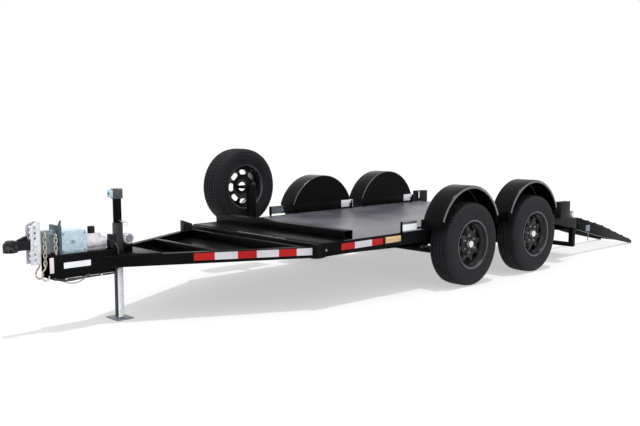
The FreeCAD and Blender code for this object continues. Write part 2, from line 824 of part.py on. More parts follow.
# Leaf springs: nested leaves of one curvature, clamped on the beam, the main one with eyes.
seatZ = beamZ + s.axleTube
stackTop = seatZ + s.leafThick * s.leafCount
eyeHeight = s.tyreRadius - s.eyeDrop
halfSpan = s.springSpan / 2
camber = eyeHeight - stackTop
bowRadius = (halfSpan * halfSpan + camber * camber) / (camber * 2)
springTrack = s.deckHalf - s.springInset
springInner = springTrack - s.springWidth / 2
springOuter = springInner + s.springWidth
springs = []
for name, side in SIDES:
    for end, x in AXLES:
        leaves = []
        for number in range(int(s.leafCount.value)):
            tag = "%s_%s_%d" % (name, end, number)
            reach = halfSpan - s.leafStep * number
            inner = bowRadius + s.leafThick * number
            outer = inner + s.leafThick
            bowZ = stackTop + bowRadius
            bow = without(
                "leafBow_" + tag,
                lateral_rod("leafOuter_" + tag, side, outer, x, bowZ, springInner, springOuter),
                lateral_rod("leafInner_" + tag, side, inner, x, bowZ, springInner, springOuter))
            reachBox = across(
                "leafReach_" + tag, side, x - reach, x + reach, springInner, springOuter,
                seatZ, eyeHeight + s.eyeRadius)
            leaves.append(common("leaf_" + tag, bow, reachBox))
        for way in (1, -1):
            leaves.append(lateral_rod(
                "eye_%s_%s_%d" % (name, end, way), side, s.eyeRadius, x + halfSpan * way, eyeHeight,
                springInner, springOuter))
        springs.append(joined("spring_%s_%s" % (name, end), leaves))
keep(grouped("springs", springs), "leaf_springs")

# Hangers under the rails; the middle one carries a rocker whose shackles take both springs.
hangers = []
middleEye = s.axleSpacing / 2 - halfSpan
outerEye = s.axleSpacing / 2 + halfSpan
cheekOuter = springOuter + s.hangerThick
cheekInner = springInner - s.hangerThick
rockerTop = railBottom - s.hangerThick * 1.5
for name, side in SIDES:
    for tag, x in (("fore", outerEye), ("mid", NONE), ("aft", -outerEye)):
        parts = [across(
            "bridge_%s_%s" % (tag, name), side, x - s.hangerHalf, x + s.hangerHalf,
            cheekInner, cheekOuter, railBottom - s.hangerThick, railBottom)]
        for number, y in enumerate((cheekInner, springOuter)):
            parts.append(across(
                "cheek%d_%s_%s" % (number, tag, name), side, x - s.hangerHalf, x + s.hangerHalf,
                y, y + s.hangerThick, eyeHeight - s.hangerDrop, railBottom))
            if tag == "mid":
                for way in (1, -1):
                    back = middleEye * way - s.shackleHalf
                    parts.append(across(
                        "shackle%d_%d_%s" % (number, way, name), side, back, back + s.shackleHalf * 2,
                        y, y + s.hangerThick, eyeHeight - s.shackleHalf, rockerTop))
        if tag == "mid":
            end = middleEye + s.shackleHalf
            arm = middleEye - s.eyeRadius - s.shackleHalf / 2
            parts.append(side_prism("rocker_" + name, side, [
                (-end, rockerTop - s.rockerDepth), (-arm, rockerTop - s.rockerDepth),
                (-s.eyeRadius, rockerTop - s.rockerDepth * 2), (s.eyeRadius, rockerTop - s.rockerDepth * 2),
                (arm, rockerTop - s.rockerDepth), (end, rockerTop - s.rockerDepth),
                (end, rockerTop), (-end, rockerTop)],
                springInner, springOuter))
        hangers.append(joined("hanger_%s_%s" % (tag, name), parts))
keep(grouped("hangers", hangers), "spring_hangers")

# Tyres, wheels and hubs, each turned about its own axle, side giving the way it faces.
TYRE = (
    # share of the height from flange to tread, share of the half width
    (0.40, 1.0),
    (0.84, 0.93),
    (1.0, 0.70),
)
seatOuter = s.rimSeat + s.beadClearance
flangeInner = s.beadHalf + s.beadClearance
flangeOuter = flangeInner + s.flangeThick
rimInside = s.rimSeat - s.rimWall


def tyre(tag, side):
    flangeTop = s.flangeRadius + s.beadClearance
    section = s.tyreRadius - flangeTop
    half = [(s.beadHalf, seatOuter), (s.beadHalf, flangeTop)]
    half += [(s.tyreWidth / 2 * share, flangeTop + section * up) for up, share in TYRE]
    return turned("tyre_" + tag, half + [(-offset, radius) for offset, radius in reversed(half)])


def wheel(tag, side):
    """rim and dished disc in one turning, then a ring of windows through the dish"""
    face = s.dishFace
    back = face - s.discThick
    pad = s.discOffset + s.discThick
    profile = [
        (-flangeOuter, rimInside), (-flangeOuter, s.flangeRadius), (-flangeInner, s.flangeRadius),
        (-flangeInner, s.rimSeat), (flangeInner, s.rimSeat), (flangeInner, s.flangeRadius),
        (flangeOuter, s.flangeRadius), (flangeOuter, rimInside), (pad + s.rimWall, rimInside),
        (face, s.dishOuter), (face, s.dishInner), (pad, s.padRadius), (pad, s.hubBore),
        (s.discOffset, s.hubBore), (s.discOffset, s.padRadius + s.rimWall / 2),
        (back, s.dishInner + s.rimWall / 2), (back, s.dishOuter), (pad - s.discThick, rimInside)]
    body = turned("wheel_" + tag, [(offset * side, radius) for offset, radius in profile])
    sketch = outline(body, "window_" + tag, "XZ", -(flangeOuter * side), [
        (-s.windowFoot / 2, s.windowInner), (s.windowFoot / 2, s.windowInner),
        (s.windowHead / 2, s.windowOuter), (-s.windowHead / 2, s.windowOuter)])
    pocket = body.newObject("PartDesign::Pocket", "windowCut_" + tag)
    pocket.Profile = sketch
    pocket.Type = "ThroughAll"
    pocket.Reversed = side > 0
    ring = body.newObject("PartDesign::PolarPattern", "windows_" + tag)
    ring.Originals = [pocket]
    ring.Axis = (sketch, ["N_Axis"])
    ring.Angle = 360
    ring.setExpression("Occurrences", s.windowCount.text)
    body.Tip = ring
    return body


def hub(tag, side):
    """drum behind the disc, boss through it, and the cap over the spindle's end"""
    inner = s.discOffset - s.drumDepth
    hollow = s.spindleRadius + s.pinClearance
    floor = s.discOffset + s.discThick + s.pinClearance
    boss = s.discOffset + s.hubReach
    profile = [
        (inner, hollow), (inner, s.drumRadius), (s.discOffset, s.drumRadius), (s.discOffset, s.hubBore),
        (boss, s.hubBore), (boss, s.capRadius), (s.capReach, s.capRadius), (s.capReach, NONE), (floor, NONE),
        (floor, hollow)]
    return turned("hub_" + tag, [(offset * side, radius) for offset, radius in profile])


for end, x in AXLES:
    for name, side in SIDES:
        tag = "%s_%s" % (end, name)
        centre = (x, wheelPlace * side, s.tyreRadius)
        keep(tyre(tag, side), "tyre_" + tag, centre)
        keep(wheel(tag, side), "wheel_" + tag, centre)
        keep(hub(tag, side), "hub_" + tag, centre)

# The spare stands upright outside the right rail, bolted to an arm on a post.
spareZ = s.deckTop + s.spareRise
spareCentre = (s.sparePlace, -spareReach, spareZ)
keep(tyre("spare", 1), "spare_tyre", spareCentre)
keep(wheel("spare", 1), "spare_wheel", spareCentre)
postHalf = s.sparePost / 2
postOuter = s.deckHalf + s.sparePost
keep(joined("spareMount", [
    across(
        "sparePostTube", -1, s.sparePlace - postHalf, s.sparePlace + postHalf, s.deckHalf, postOuter,
        railBottom + s.sparePost / 3, spareZ + s.armHalf * 2),
    across(
        "spareArmBar", -1, s.sparePlace - s.spareArm, s.sparePlace + s.spareArm, postOuter,
        spareReach - s.discOffset - s.discThick, spareZ - s.armHalf, spareZ + s.armHalf)]), "spare_mount")

# Lamp boxes behind the rear fenders, each on a bracket from the rail.
lamps = []
brackets = []
lampFront = -(s.axleSpacing / 2 + s.fenderRadius + s.lampInset)
lampBack = lampFront - s.lampLength
lampBottom = s.deckTop - s.lampDrop
lampInner = s.deckHalf + s.lampGap
for name, side in SIDES:
    lamps.append(across(
        "lamp_" + name, side, lampBack, lampFront, lampInner, lampInner + s.lampDepth,
        lampBottom, lampBottom + s.lampHeight))
    brackets.append(across(
        "lampBracket_" + name, side, lampBack - s.braceWidth, lampFront + s.braceWidth,
        s.deckHalf, lampInner, lampBottom + s.railWall, lampBottom + s.railWall * 2))
keep(grouped("lamps", lamps), "tail_lamps")
keep(grouped("lampBrackets", brackets), "lamp_brackets")

# Guard under the tail: two posts up to the sloping rails, and a bar across.
guardBack = -(tailEnd - s.guardInset) - s.guardSize / 2
guardFront = guardBack + s.guardSize
guardOuter = s.deckHalf - s.guardSide
tailSlope = s.tailDrop / s.tailLength
guardParts = [block(
    "guardBar", guardBack, guardFront, -guardOuter, guardOuter, s.guardBottom, s.guardBottom + s.guardBar)]
for name, side in SIDES:
    guardParts.append(side_prism("guardPost_" + name, side, [
        (guardBack, s.guardBottom), (guardFront, s.guardBottom),
        (guardFront, railBottom + (guardFront + s.tailStart) * tailSlope),
        (guardBack, railBottom + (guardBack + s.tailStart) * tailSlope)],
        guardOuter - s.guardSize, guardOuter))
keep(joined("guard", guardParts), "rear_guard")

# Ramps: two side beams with rungs between, hinged on a cross pin behind the tail, their
# tips on the ground.
tailBack = -tailEnd - s.tailThick
pivotX = -rampPivot
pivotZ = railTop - s.tailDrop - s.pivotSink
sleeve = s.pinRadius + s.sleeveWall
kneeX = pivotX - s.rampKnee
kneeZ = pivotZ + sleeve - s.rampKneeDrop
tipX = -rampReach
heelX = pivotX - s.rampHeel
upperSlope = s.rampKneeDrop / s.rampKnee
lowerSlope = (kneeZ - s.rampTip) / (kneeX - tipX)


def ramp_surface(x):
    """height of the ramp's upper edge, gentle down to the knee and steeper to the tip"""
    if x.value > kneeX.value:
        return pivotZ + sleeve - (pivotX - x) * upperSlope
    return s.rampTip + (x - tipX) * lowerSlope


cheek = [
    (pivotX, pivotZ + sleeve), (kneeX, kneeZ), (tipX, s.rampTip), (tipX, NONE), (kneeX, kneeZ - s.rampDepth),
    (heelX, ramp_surface(heelX) - s.rampDepth), (pivotX, pivotZ - sleeve)]
rampOuter = s.deckHalf - s.rampInset
rampInner = rampOuter - s.rampWidth
beams = ((rampOuter - s.rampWall, rampOuter), (rampInner, rampInner + s.rampWall))
for name, side in SIDES:
    parts = []
    for number, (y0, y1) in enumerate(beams):
        parts.append(side_prism("rampBeam%d_%s" % (number, name), side, cheek, y0, y1))
        parts.append(lateral_rod("rampSleeve%d_%s" % (number, name), side, sleeve, pivotX, pivotZ, y0, y1))
    for number in range(int(s.rungCount.value)):
        middle = pivotX - s.rampRun * ((number + 0.5) / s.rungCount.value)
        top = ramp_surface(middle) - s.rungSink
        parts.append(across(
            "rung%d_%s" % (number, name), side, middle - s.rungSize / 2, middle + s.rungSize / 2,
            rampInner + s.rampWall, rampOuter - s.rampWall, top - s.rungSize, top))
    bore = lateral_rod(
        "rampBore_" + name, side, s.pinRadius + s.pinClearance, pivotX, pivotZ, rampInner, rampOuter)
    keep(without("ramp_" + name, joined("rampSolid_" + name, parts), bore), "ramp_" + name)
    # two lugs beside each beam, and the pin through them all
    lugs = []
    for number, (y0, y1) in enumerate(beams):
        for y in (y0 - s.lugGap - s.lugThick, y1 + s.lugGap):
            lugs.append(across(
                "lug%d_%s" % (len(lugs), name), side, tailBack - s.pivotGap, tailBack,
                y, y + s.lugThick, pivotZ - s.lugHalf, pivotZ + s.lugHalf))
    pinEnd = s.lugGap + s.lugThick + s.pinProud
    pin = lateral_rod(
        "hingePin_" + name, side, s.pinRadius, pivotX, pivotZ, rampInner - pinEnd, rampOuter + pinEnd)
    keep(joined("rampHinge_" + name, lugs + [pin]), "ramp_hinge_" + name)

doc.recompute()
for item in doc.Objects:
    if "Invalid" in item.State or "Error" in item.State:
        raise RuntimeError("failed object: " + item.Label)
names = [item.Label for item in pieces]
if len(set(names)) != len(names):
    raise RuntimeError("a label is used twice")
for item in pieces:
    if item.Shape.isNull() or not item.Shape.isValid():
        raise RuntimeError("bad shape: " + item.Label)

os.makedirs("parts", exist_ok=True)
whole = FreeCAD.BoundBox()
for item in pieces:
    item.Shape.exportStep("parts/%s.step" % item.Label)
    whole.add(item.Shape.BoundBox)
print(len(pieces), "pieces, box", whole)
print("origin", originX.value, originY.value, "wheel", wheelPlace.value)
print("ramp pivot", pivotX.value, pivotZ.value, "ball socket", headX.value, couplerBottom.value)
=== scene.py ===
import bmesh
import bpy
from math import acos, cos, hypot, pi, radians, sin, tau
from mathutils import Matrix, Vector


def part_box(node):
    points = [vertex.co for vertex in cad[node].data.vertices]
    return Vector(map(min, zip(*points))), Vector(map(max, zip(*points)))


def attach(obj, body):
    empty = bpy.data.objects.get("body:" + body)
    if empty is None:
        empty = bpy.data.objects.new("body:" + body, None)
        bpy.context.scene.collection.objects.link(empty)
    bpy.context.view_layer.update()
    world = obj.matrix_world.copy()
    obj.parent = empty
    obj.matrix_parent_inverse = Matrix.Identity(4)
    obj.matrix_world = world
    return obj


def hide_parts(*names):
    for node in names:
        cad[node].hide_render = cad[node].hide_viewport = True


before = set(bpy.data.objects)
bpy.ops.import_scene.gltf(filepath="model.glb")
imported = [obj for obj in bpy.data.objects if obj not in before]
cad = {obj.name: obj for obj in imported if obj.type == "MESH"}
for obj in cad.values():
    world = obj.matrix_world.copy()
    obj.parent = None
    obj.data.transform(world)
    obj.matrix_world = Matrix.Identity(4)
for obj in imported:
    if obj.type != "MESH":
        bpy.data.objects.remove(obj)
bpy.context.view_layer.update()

scene = bpy.context.scene
sides = (("left", 1), ("right", -1))

# lengths below are millimetres from midway between the axles, on the centre line, at the ground,
# unless a comment says metres
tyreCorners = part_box("tyre_front_left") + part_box("tyre_rear_right")
middle = [sum(corner[axis] for corner in tyreCorners) / 4 for axis in (0, 1)]
railFace = 783
deckTop = 484


def at(x, y, z):
    return Vector((x / 1000 + middle[0], y / 1000 + middle[1], z / 1000))


def span(node):
    # a CAD piece's box as back, front, right, left, bottom and top
    low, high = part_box(node)
    return [round((corner[k] - (*middle, 0)[k]) * 1000, 2) for k in (0, 1, 2) for corner in (low, high)]


axles = [(end, sum(span("tyre_%s_left" % end)[:2]) / 2) for end in ("front", "rear")]


# node helpers

def nodeIn(tree, kind, inputs=(), **settings):
    # a node with its settings, and with its inputs linked or set
    node = tree.nodes.new(kind)
    for label, value in settings.items():
        setattr(node, label, value)
    for key, value in dict(inputs).items():
        if isinstance(value, bpy.types.NodeSocket):
            tree.links.new(value, node.inputs[key])
        else:
            node.inputs[key].default_value = value
    return node


def openTree(name, kind, inputs, outputs):
    # a node group with named sockets: its tree, what comes in, and the node that takes what goes out
    tree = bpy.data.node_groups.new(name, kind)
    for label, sort, value in inputs:
        socket = tree.interface.new_socket(label, in_out="INPUT", socket_type="NodeSocket" + sort)
        if value is not None:
            socket.default_value = value
    for label, sort in outputs:
        tree.interface.new_socket(label, in_out="OUTPUT", socket_type="NodeSocket" + sort)
    return tree, tree.nodes.new("NodeGroupInput").outputs, tree.nodes.new("NodeGroupOutput")


def shaderTree(name, inputs, outputs):
    return openTree(name, "ShaderNodeTree", inputs, outputs)


def joined(tree, end, outputs):
    for label, value in outputs.items():
        tree.links.new(value, end.inputs[label])
    return tree


# node groups shared by the finishes

def noiseIn(tree, scale, detail, stretch=None):
    spot = nodeIn(tree, "ShaderNodeTexCoord").outputs["Object"]
    if stretch:
        spot = nodeIn(tree, "ShaderNodeMapping", {"Vector": spot, "Scale": stretch}).outputs["Vector"]
    values = {"Vector": spot, "Scale": scale, "Detail": detail}
    return nodeIn(tree, "ShaderNodeTexNoise", values).outputs["Fac"]


def rampOf(tree, source, low, high, kind="SMOOTHSTEP"):
    values = {"Value": source, "From Min": low, "From Max": high}
    return nodeIn(tree, "ShaderNodeMapRange", values, interpolation_type=kind).outputs["Result"]


def mathOf(tree, first, second, operation="MULTIPLY"):
    return nodeIn(tree, "ShaderNodeMath", {0: first, 1: second}, operation=operation).outputs[0]


def mixOf(tree, amount, first, second, kind="FLOAT"):
    values = {"Factor": amount, "A": first, "B": second}
    return nodeIn(tree, "ShaderNodeMix", values, data_type=kind).outputs["Result"]


def makePatchy():
    # broad change of tone over a surface, and a roughness that goes with it
    tree, start, end = shaderTree("patchyTone", (
        ("Base", "Color", (0.5, 0.5, 0.5, 1)), ("Tint", "Color", (0.4, 0.4, 0.4, 1)),
        ("Scale", "Float", 3.0), ("Rough Low", "Float", 0.3), ("Rough High", "Float", 0.5)),
        (("Colour", "Color"), ("Roughness", "Float")))
    mask = rampOf(tree, noiseIn(tree, start["Scale"], 5.0), 0.32, 0.68)
    return joined(tree, end, {
        "Colour": mixOf(tree, mask, start["Base"], start["Tint"], "RGBA"),
        "Roughness": mixOf(tree, mask, start["Rough Low"], start["Rough High"])})


def makeWorn():
    # paler, rubbed paint along the rounded edges, which carry the attribute worn
    tree, start, end = shaderTree("wornEdges", (
        ("Colour", "Color", (0, 0, 0, 1)), ("Rubbed", "Color", (0.2, 0.2, 0.2, 1)),
        ("Amount", "Float", 0.5), ("Scale", "Float", 40.0)), (("Colour", "Color"),))
    edge = nodeIn(tree, "ShaderNodeAttribute", attribute_name="worn").outputs["Fac"]
    mask = mathOf(tree, rampOf(tree, noiseIn(tree, start["Scale"], 3.0), 0.42, 0.62), edge)
    mask = mathOf(tree, mask, start["Amount"])
    return joined(tree, end, {"Colour": mixOf(tree, mask, start["Colour"], start["Rubbed"], "RGBA")})


def makeDust():
    # thin road dust that lies on what faces up
    tree, start, end = shaderTree("settledDust", (
        ("Colour", "Color", (0, 0, 0, 1)), ("Dust", "Color", (0.35, 0.33, 0.3, 1)),
        ("Amount", "Float", 0.1), ("Scale", "Float", 6.0)), (("Colour", "Color"),))
    facing = nodeIn(tree, "ShaderNodeNewGeometry").outputs["Normal"]
    upward = nodeIn(tree, "ShaderNodeSeparateXYZ", {"Vector": facing}).outputs["Z"]
    patches = rampOf(tree, noiseIn(tree, start["Scale"], 6.0), 0.3, 0.75)
    mask = mathOf(tree, rampOf(tree, upward, 0.2, 1.0), patches)
    mask = mathOf(tree, mask, start["Amount"])
    return joined(tree, end, {"Colour": mixOf(tree, mask, start["Colour"], start["Dust"], "RGBA")})


def makeGrain():
    # fine height: the orange peel of paint, or the pores of a casting or of rubber
    tree, start, end = shaderTree("fineGrain", (("Scale", "Float", 300.0),), (("Height", "Float"),))
    return joined(tree, end, {"Height": noiseIn(tree, start["Scale"], 2.0)})


def makeBrushed():
    # drawn lines of machined or rolled metal along one axis
    tree, start, end = shaderTree("drawnLines", (
        ("Scale", "Float", 60.0), ("Rough Low", "Float", 0.2), ("Rough High", "Float", 0.4)),
        (("Height", "Float"), ("Roughness", "Float")))
    noise = noiseIn(tree, start["Scale"], 3.0, (1.0, 1.0, 14.0))
    rough = mixOf(tree, rampOf(tree, noise, 0.3, 0.7), start["Rough Low"], start["Rough High"])
    return joined(tree, end, {"Height": noise, "Roughness": rough})


def makeSpangle():
    # crystal patches of zinc
    tree, start, end = shaderTree("zincSpangle", (
        ("Base", "Color", (0.6, 0.62, 0.64, 1)), ("Flake", "Color", (0.8, 0.82, 0.84, 1)),
        ("Scale", "Float", 90.0)), (("Colour", "Color"), ("Roughness", "Float")))
    spot = nodeIn(tree, "ShaderNodeTexCoord").outputs["Object"]
    cells = nodeIn(tree, "ShaderNodeTexVoronoi", {"Vector": spot, "Scale": start["Scale"]}).outputs["Color"]
    parts = nodeIn(tree, "ShaderNodeSeparateColor", {"Color": cells}).outputs
    return joined(tree, end, {
        "Colour": mixOf(tree, parts["Red"], start["Base"], start["Flake"], "RGBA"),
        "Roughness": rampOf(tree, parts["Green"], -1.2, 3.2, "LINEAR")})


groups = {
    "patchy": makePatchy(), "worn": makeWorn(), "dust": makeDust(),
    "grain": makeGrain(), "drawn": makeBrushed(), "spangle": makeSpangle()}


def groupIn(tree, kind, values):
    return nodeIn(tree, "ShaderNodeGroup", values, node_tree=groups[kind]).outputs


usual = {"metallic": 0.0, "coat": 0.0, "specular": 0.5, "wear": 0.4, "dust": 0.05, "grain": 260.0,
         "bump": 0.15}
wornScale, dustScale, bumpDepth, coatRough = 45.0, 5.0, 0.0005, 0.1


def finish(name, given):
    # one finish: tone, worn edges, dust and grain around a plain shader
    look = dict(usual, **given)
    base, tint, rubbed = [(*look.get(key, look["tint"]), 1.0) for key in ("base", "tint", "rubbed")]
    rough = dict(zip(("Rough Low", "Rough High"), look.get("rough", ())))
    material = bpy.data.materials.new(name)
    material.use_nodes = True
    tree = material.node_tree
    shader = tree.nodes["Principled BSDF"]
    for label, value in (("Metallic", look["metallic"]), ("Coat Weight", look["coat"]),
                         ("Coat Roughness", coatRough), ("Specular IOR Level", look["specular"])):
        shader.inputs[label].default_value = value
    if "spangle" in look:
        tone = groupIn(tree, "spangle", {"Base": base, "Flake": tint, "Scale": look["spangle"]})
    else:
        tone = groupIn(tree, "patchy", {"Base": base, "Tint": tint, "Scale": look["patch"], **rough})
    worn = groupIn(tree, "worn", {
        "Colour": tone["Colour"], "Rubbed": rubbed, "Amount": look["wear"], "Scale": wornScale})
    dust = groupIn(tree, "dust", {"Colour": worn["Colour"], "Amount": look["dust"], "Scale": dustScale})
    tree.links.new(dust["Colour"], shader.inputs["Base Color"])
    if "drawn" in look:
        surface = groupIn(tree, "drawn", {"Scale": look["drawn"], **rough})
        tree.links.new(surface["Roughness"], shader.inputs["Roughness"])
    else:
        surface = groupIn(tree, "grain", {"Scale": look["grain"]})
        tree.links.new(tone["Roughness"], shader.inputs["Roughness"])
    bump = nodeIn(tree, "ShaderNodeBump", {
        "Strength": look["bump"], "Distance": bumpDepth, "Height": surface["Height"]})
    tree.links.new(bump.outputs["Normal"], shader.inputs["Normal"])
    if "glow" in look:
        shader.inputs["Emission Color"].default_value = (1, 1, 1, 1)
        shader.inputs["Emission Strength"].default_value = look["glow"]
    return material


# base and tint are a finish's two tones; what isn't given is as in usual
finishes = {
    "framePaint": dict(base=(0.0022, 0.0022, 0.0026), tint=(0.0045, 0.0045, 0.0055), patch=2.2,
        rough=(0.26, 0.4), rubbed=(0.045, 0.045, 0.05), wear=0.25, dust=0.003, specular=0.045, grain=240.0,
        bump=0.12),
    "deckPaint": dict(base=(0.034, 0.034, 0.046), tint=(0.066, 0.065, 0.084), patch=1.6, rough=(0.28, 0.42),
        rubbed=(0.16, 0.16, 0.17), wear=0.3, dust=0.02, specular=0.75, grain=120.0, bump=0.2),
    "wheelPaint": dict(base=(0.006, 0.006, 0.007), tint=(0.011, 0.011, 0.013), patch=9.0,
        rough=(0.16, 0.26), rubbed=(0.12, 0.12, 0.13), wear=0.3, dust=0.02, coat=0.1, specular=0.2,
        grain=200.0, bump=0.08),
    "rimLip": dict(base=(0.06, 0.06, 0.07), tint=(0.11, 0.11, 0.125), patch=8.0, rough=(0.2, 0.34),
        metallic=0.5, specular=0.2, dust=0.02, grain=180.0, bump=0.08),
    "tyreRubber": dict(base=(0.009, 0.0088, 0.011), tint=(0.016, 0.0155, 0.019), patch=7.0,
        rough=(0.55, 0.72), rubbed=(0.05, 0.05, 0.055), dust=0.015, specular=0.14, grain=420.0, bump=0.3),
    "fenderPaint": dict(base=(0.0025, 0.0025, 0.003), tint=(0.005, 0.005, 0.006), patch=3.0,
        rough=(0.2, 0.32), rubbed=(0.16, 0.16, 0.18), wear=0.3, dust=0.006, coat=0.02, specular=0.05,
        grain=180.0, bump=0.12),
    # lighter grey that paints the highlight along the fenders' lips and edge beads
    "lipHighlightPaint": dict(base=(0.07, 0.07, 0.077), tint=(0.14, 0.14, 0.152), patch=6.0, rough=(0.16, 0.28),
        metallic=0.5, coat=0.5, dust=0.02, grain=180.0, bump=0.08),
    "zinc": dict(base=(0.52, 0.54, 0.57), tint=(0.72, 0.74, 0.77), spangle=120.0,
        metallic=0.75, rubbed=(0.3, 0.29, 0.27), wear=0.25),
    "paleZinc": dict(base=(0.36, 0.5, 0.58), tint=(0.5, 0.62, 0.7), spangle=70.0,
        metallic=0.3, rubbed=(0.3, 0.33, 0.35), wear=0.25),
    "castPale": dict(base=(0.42, 0.4, 0.44), tint=(0.6, 0.57, 0.61), patch=30.0, rough=(0.34, 0.5),
        metallic=0.25, rubbed=(0.4, 0.4, 0.42), wear=0.2, grain=500.0, bump=0.4),
    "platedYellow": dict(base=(0.46, 0.42, 0.34), tint=(0.62, 0.58, 0.5), patch=60.0, rough=(0.26, 0.42),
        metallic=0.8, rubbed=(0.3, 0.25, 0.2), wear=0.2, dust=0.02, bump=0.12),
    "brightSteel": dict(base=(0.66, 0.67, 0.69), tint=(0.78, 0.79, 0.81), patch=20.0, rough=(0.14, 0.26),
        metallic=0.9, dust=0.02, drawn=70.0, bump=0.06),
    "drumIron": dict(base=(0.035, 0.033, 0.032), tint=(0.07, 0.066, 0.062), patch=24.0, rough=(0.45, 0.62),
        metallic=0.5, dust=0.03, grain=420.0, bump=0.3),
    "couplerPaint": dict(base=(0.005, 0.005, 0.006), tint=(0.012, 0.012, 0.014), patch=14.0,
        rough=(0.3, 0.46), rubbed=(0.12, 0.12, 0.13), dust=0.01, specular=0.12, grain=300.0, bump=0.2),
    "tealPlate": dict(base=(0.035, 0.055, 0.07), tint=(0.06, 0.09, 0.11), patch=12.0, rough=(0.3, 0.45),
        metallic=0.2, rubbed=(0.2, 0.24, 0.27), wear=0.5, dust=0.02, specular=0.3, grain=240.0),
    "jackPaint": dict(base=(0.012, 0.012, 0.014), tint=(0.022, 0.021, 0.026), patch=8.0, rough=(0.3, 0.42),
        rubbed=(0.2, 0.2, 0.22), wear=0.5, dust=0.01, specular=0.3, grain=240.0),
    "springSteel": dict(base=(0.02, 0.02, 0.02), tint=(0.045, 0.04, 0.037), patch=12.0, rough=(0.42, 0.6),
        metallic=0.4, grain=200.0, bump=0.3),
    "mouldedBlack": dict(base=(0.006, 0.005, 0.007), tint=(0.012, 0.011, 0.013), patch=20.0,
        rough=(0.4, 0.55), dust=0.01, specular=0.15, grain=700.0, bump=0.25),
    "tapeRed": dict(base=(0.34, 0.004, 0.006), tint=(0.42, 0.01, 0.008), patch=5.0, rough=(0.3, 0.42),
        coat=0.1, dust=0.0, specular=0.1, grain=380.0, bump=0.35),
    "tapeWhite": dict(base=(0.46, 0.46, 0.5), tint=(0.56, 0.56, 0.6), patch=5.0, rough=(0.3, 0.42),
        coat=0.1, dust=0.0, specular=0.2, grain=380.0, bump=0.35),
    "lensAmber": dict(base=(0.5, 0.3, 0.13), tint=(0.62, 0.42, 0.22), patch=30.0, rough=(0.1, 0.2),
        coat=0.2, dust=0.0, grain=160.0, bump=0.4),
    "lensRed": dict(base=(0.2, 0.008, 0.01), tint=(0.32, 0.014, 0.014), patch=30.0, rough=(0.1, 0.2),
        coat=0.8, dust=0.02, grain=160.0, bump=0.4),
    # dark zinc that paints shade on the jack leg's front face
    "paintedShadeZinc": dict(base=(0.012, 0.013, 0.016), tint=(0.03, 0.032, 0.038), patch=20.0, rough=(0.4, 0.55),
        dust=0.0, specular=0.2),
    "slideGrey": dict(base=(0.14, 0.16, 0.19), tint=(0.24, 0.27, 0.31), patch=40.0, rough=(0.3, 0.45),
        metallic=0.4, dust=0.0, specular=0.3),
    "capGrey": dict(base=(0.045, 0.047, 0.058), tint=(0.1, 0.1, 0.112), patch=30.0, rough=(0.34, 0.5),
        metallic=0.2, dust=0.0, specular=0.2),
    "labelWhite": dict(base=(0.82, 0.84, 0.86), tint=(0.72, 0.75, 0.79), patch=14.0, rough=(0.3, 0.42),
        coat=0.3, dust=0.02, grain=300.0, bump=0.1),
    "strapPale": dict(base=(0.66, 0.56, 0.6), tint=(0.76, 0.68, 0.71), patch=60.0, rough=(0.7, 0.85),
        dust=0.03, grain=900.0, bump=0.5),
    "wireGrey": dict(base=(0.34, 0.35, 0.36), tint=(0.44, 0.45, 0.46), patch=40.0, rough=(0.4, 0.55),
        metallic=0.3, dust=0.02, grain=900.0, bump=0.4),
    "wireBlack": dict(base=(0.014, 0.014, 0.015), tint=(0.026, 0.026, 0.028), patch=40.0, rough=(0.35, 0.5),
        dust=0.02, grain=700.0, bump=0.3),
}
paint = {name: finish(name, look) for name, look in finishes.items()}
print("finishes:", len(paint))


# helpers that make meshes

def meshOf(bm):
    if "worn" not in bm.faces.layers.float:
        bm.faces.layers.float.new("worn")
    mesh = bpy.data.meshes.new("part")
    bm.to_mesh(mesh)
    bm.free()
    return mesh


def solidOf(bm):
    bmesh.ops.recalc_face_normals(bm, faces=bm.faces)
    return meshOf(bm)


def added(name, data):
    thing = bpy.data.objects.new(name, data)
    scene.collection.objects.link(thing)
    return thing


def moved(mesh, matrix):
    mesh.transform(matrix)
    if matrix.to_3x3().determinant() < 0:
        mesh.flip_normals()
    return mesh


def aimed(mesh, spot, direction):
    # lays a mesh's own Z along a direction, at a spot
    turn = Vector(direction).to_track_quat("Z", "Y").to_matrix().to_4x4()
    return moved(mesh, Matrix.Translation(spot) @ turn)


def outward(mesh):
    bm = bmesh.new()
    bm.from_mesh(mesh)
    bmesh.ops.remove_doubles(bm, verts=bm.verts, dist=1e-6)
    bmesh.ops.recalc_face_normals(bm, faces=bm.faces)
    bm.to_mesh(mesh)
    bm.free()
    return mesh


def evaluated(mesh, modify):
    # runs modifiers on a mesh and gives back a plain mesh
    holder = added("holder", mesh)
    modify(holder)
    result = bpy.data.meshes.new_from_object(holder.evaluated_get(bpy.context.evaluated_depsgraph_get()))
    bpy.data.objects.remove(holder)
    return result


def soften(holder, width, segments, angle):
    bevel = holder.modifiers.new("soften", "BEVEL")
    bevel.width = width
    bevel.segments = segments
    bevel.limit_method = "ANGLE"
    bevel.angle_limit = radians(angle)


def rounded(mesh, width, segments=2):
    # softens the edges by a width in metres and marks the narrow strips as worn
    result = evaluated(mesh, lambda holder: soften(holder, width, segments, 30))
    bm = bmesh.new()
    bm.from_mesh(result)
    layer = bm.faces.layers.float.get("worn") or bm.faces.layers.float.new("worn")
    for face in bm.faces:
        longest = max(edge.calc_length() for edge in face.edges)
        face[layer] = 1.0 if face.calc_area() < longest * width * 1.3 else 0.0
    bm.to_mesh(result)
    bm.free()
    return result


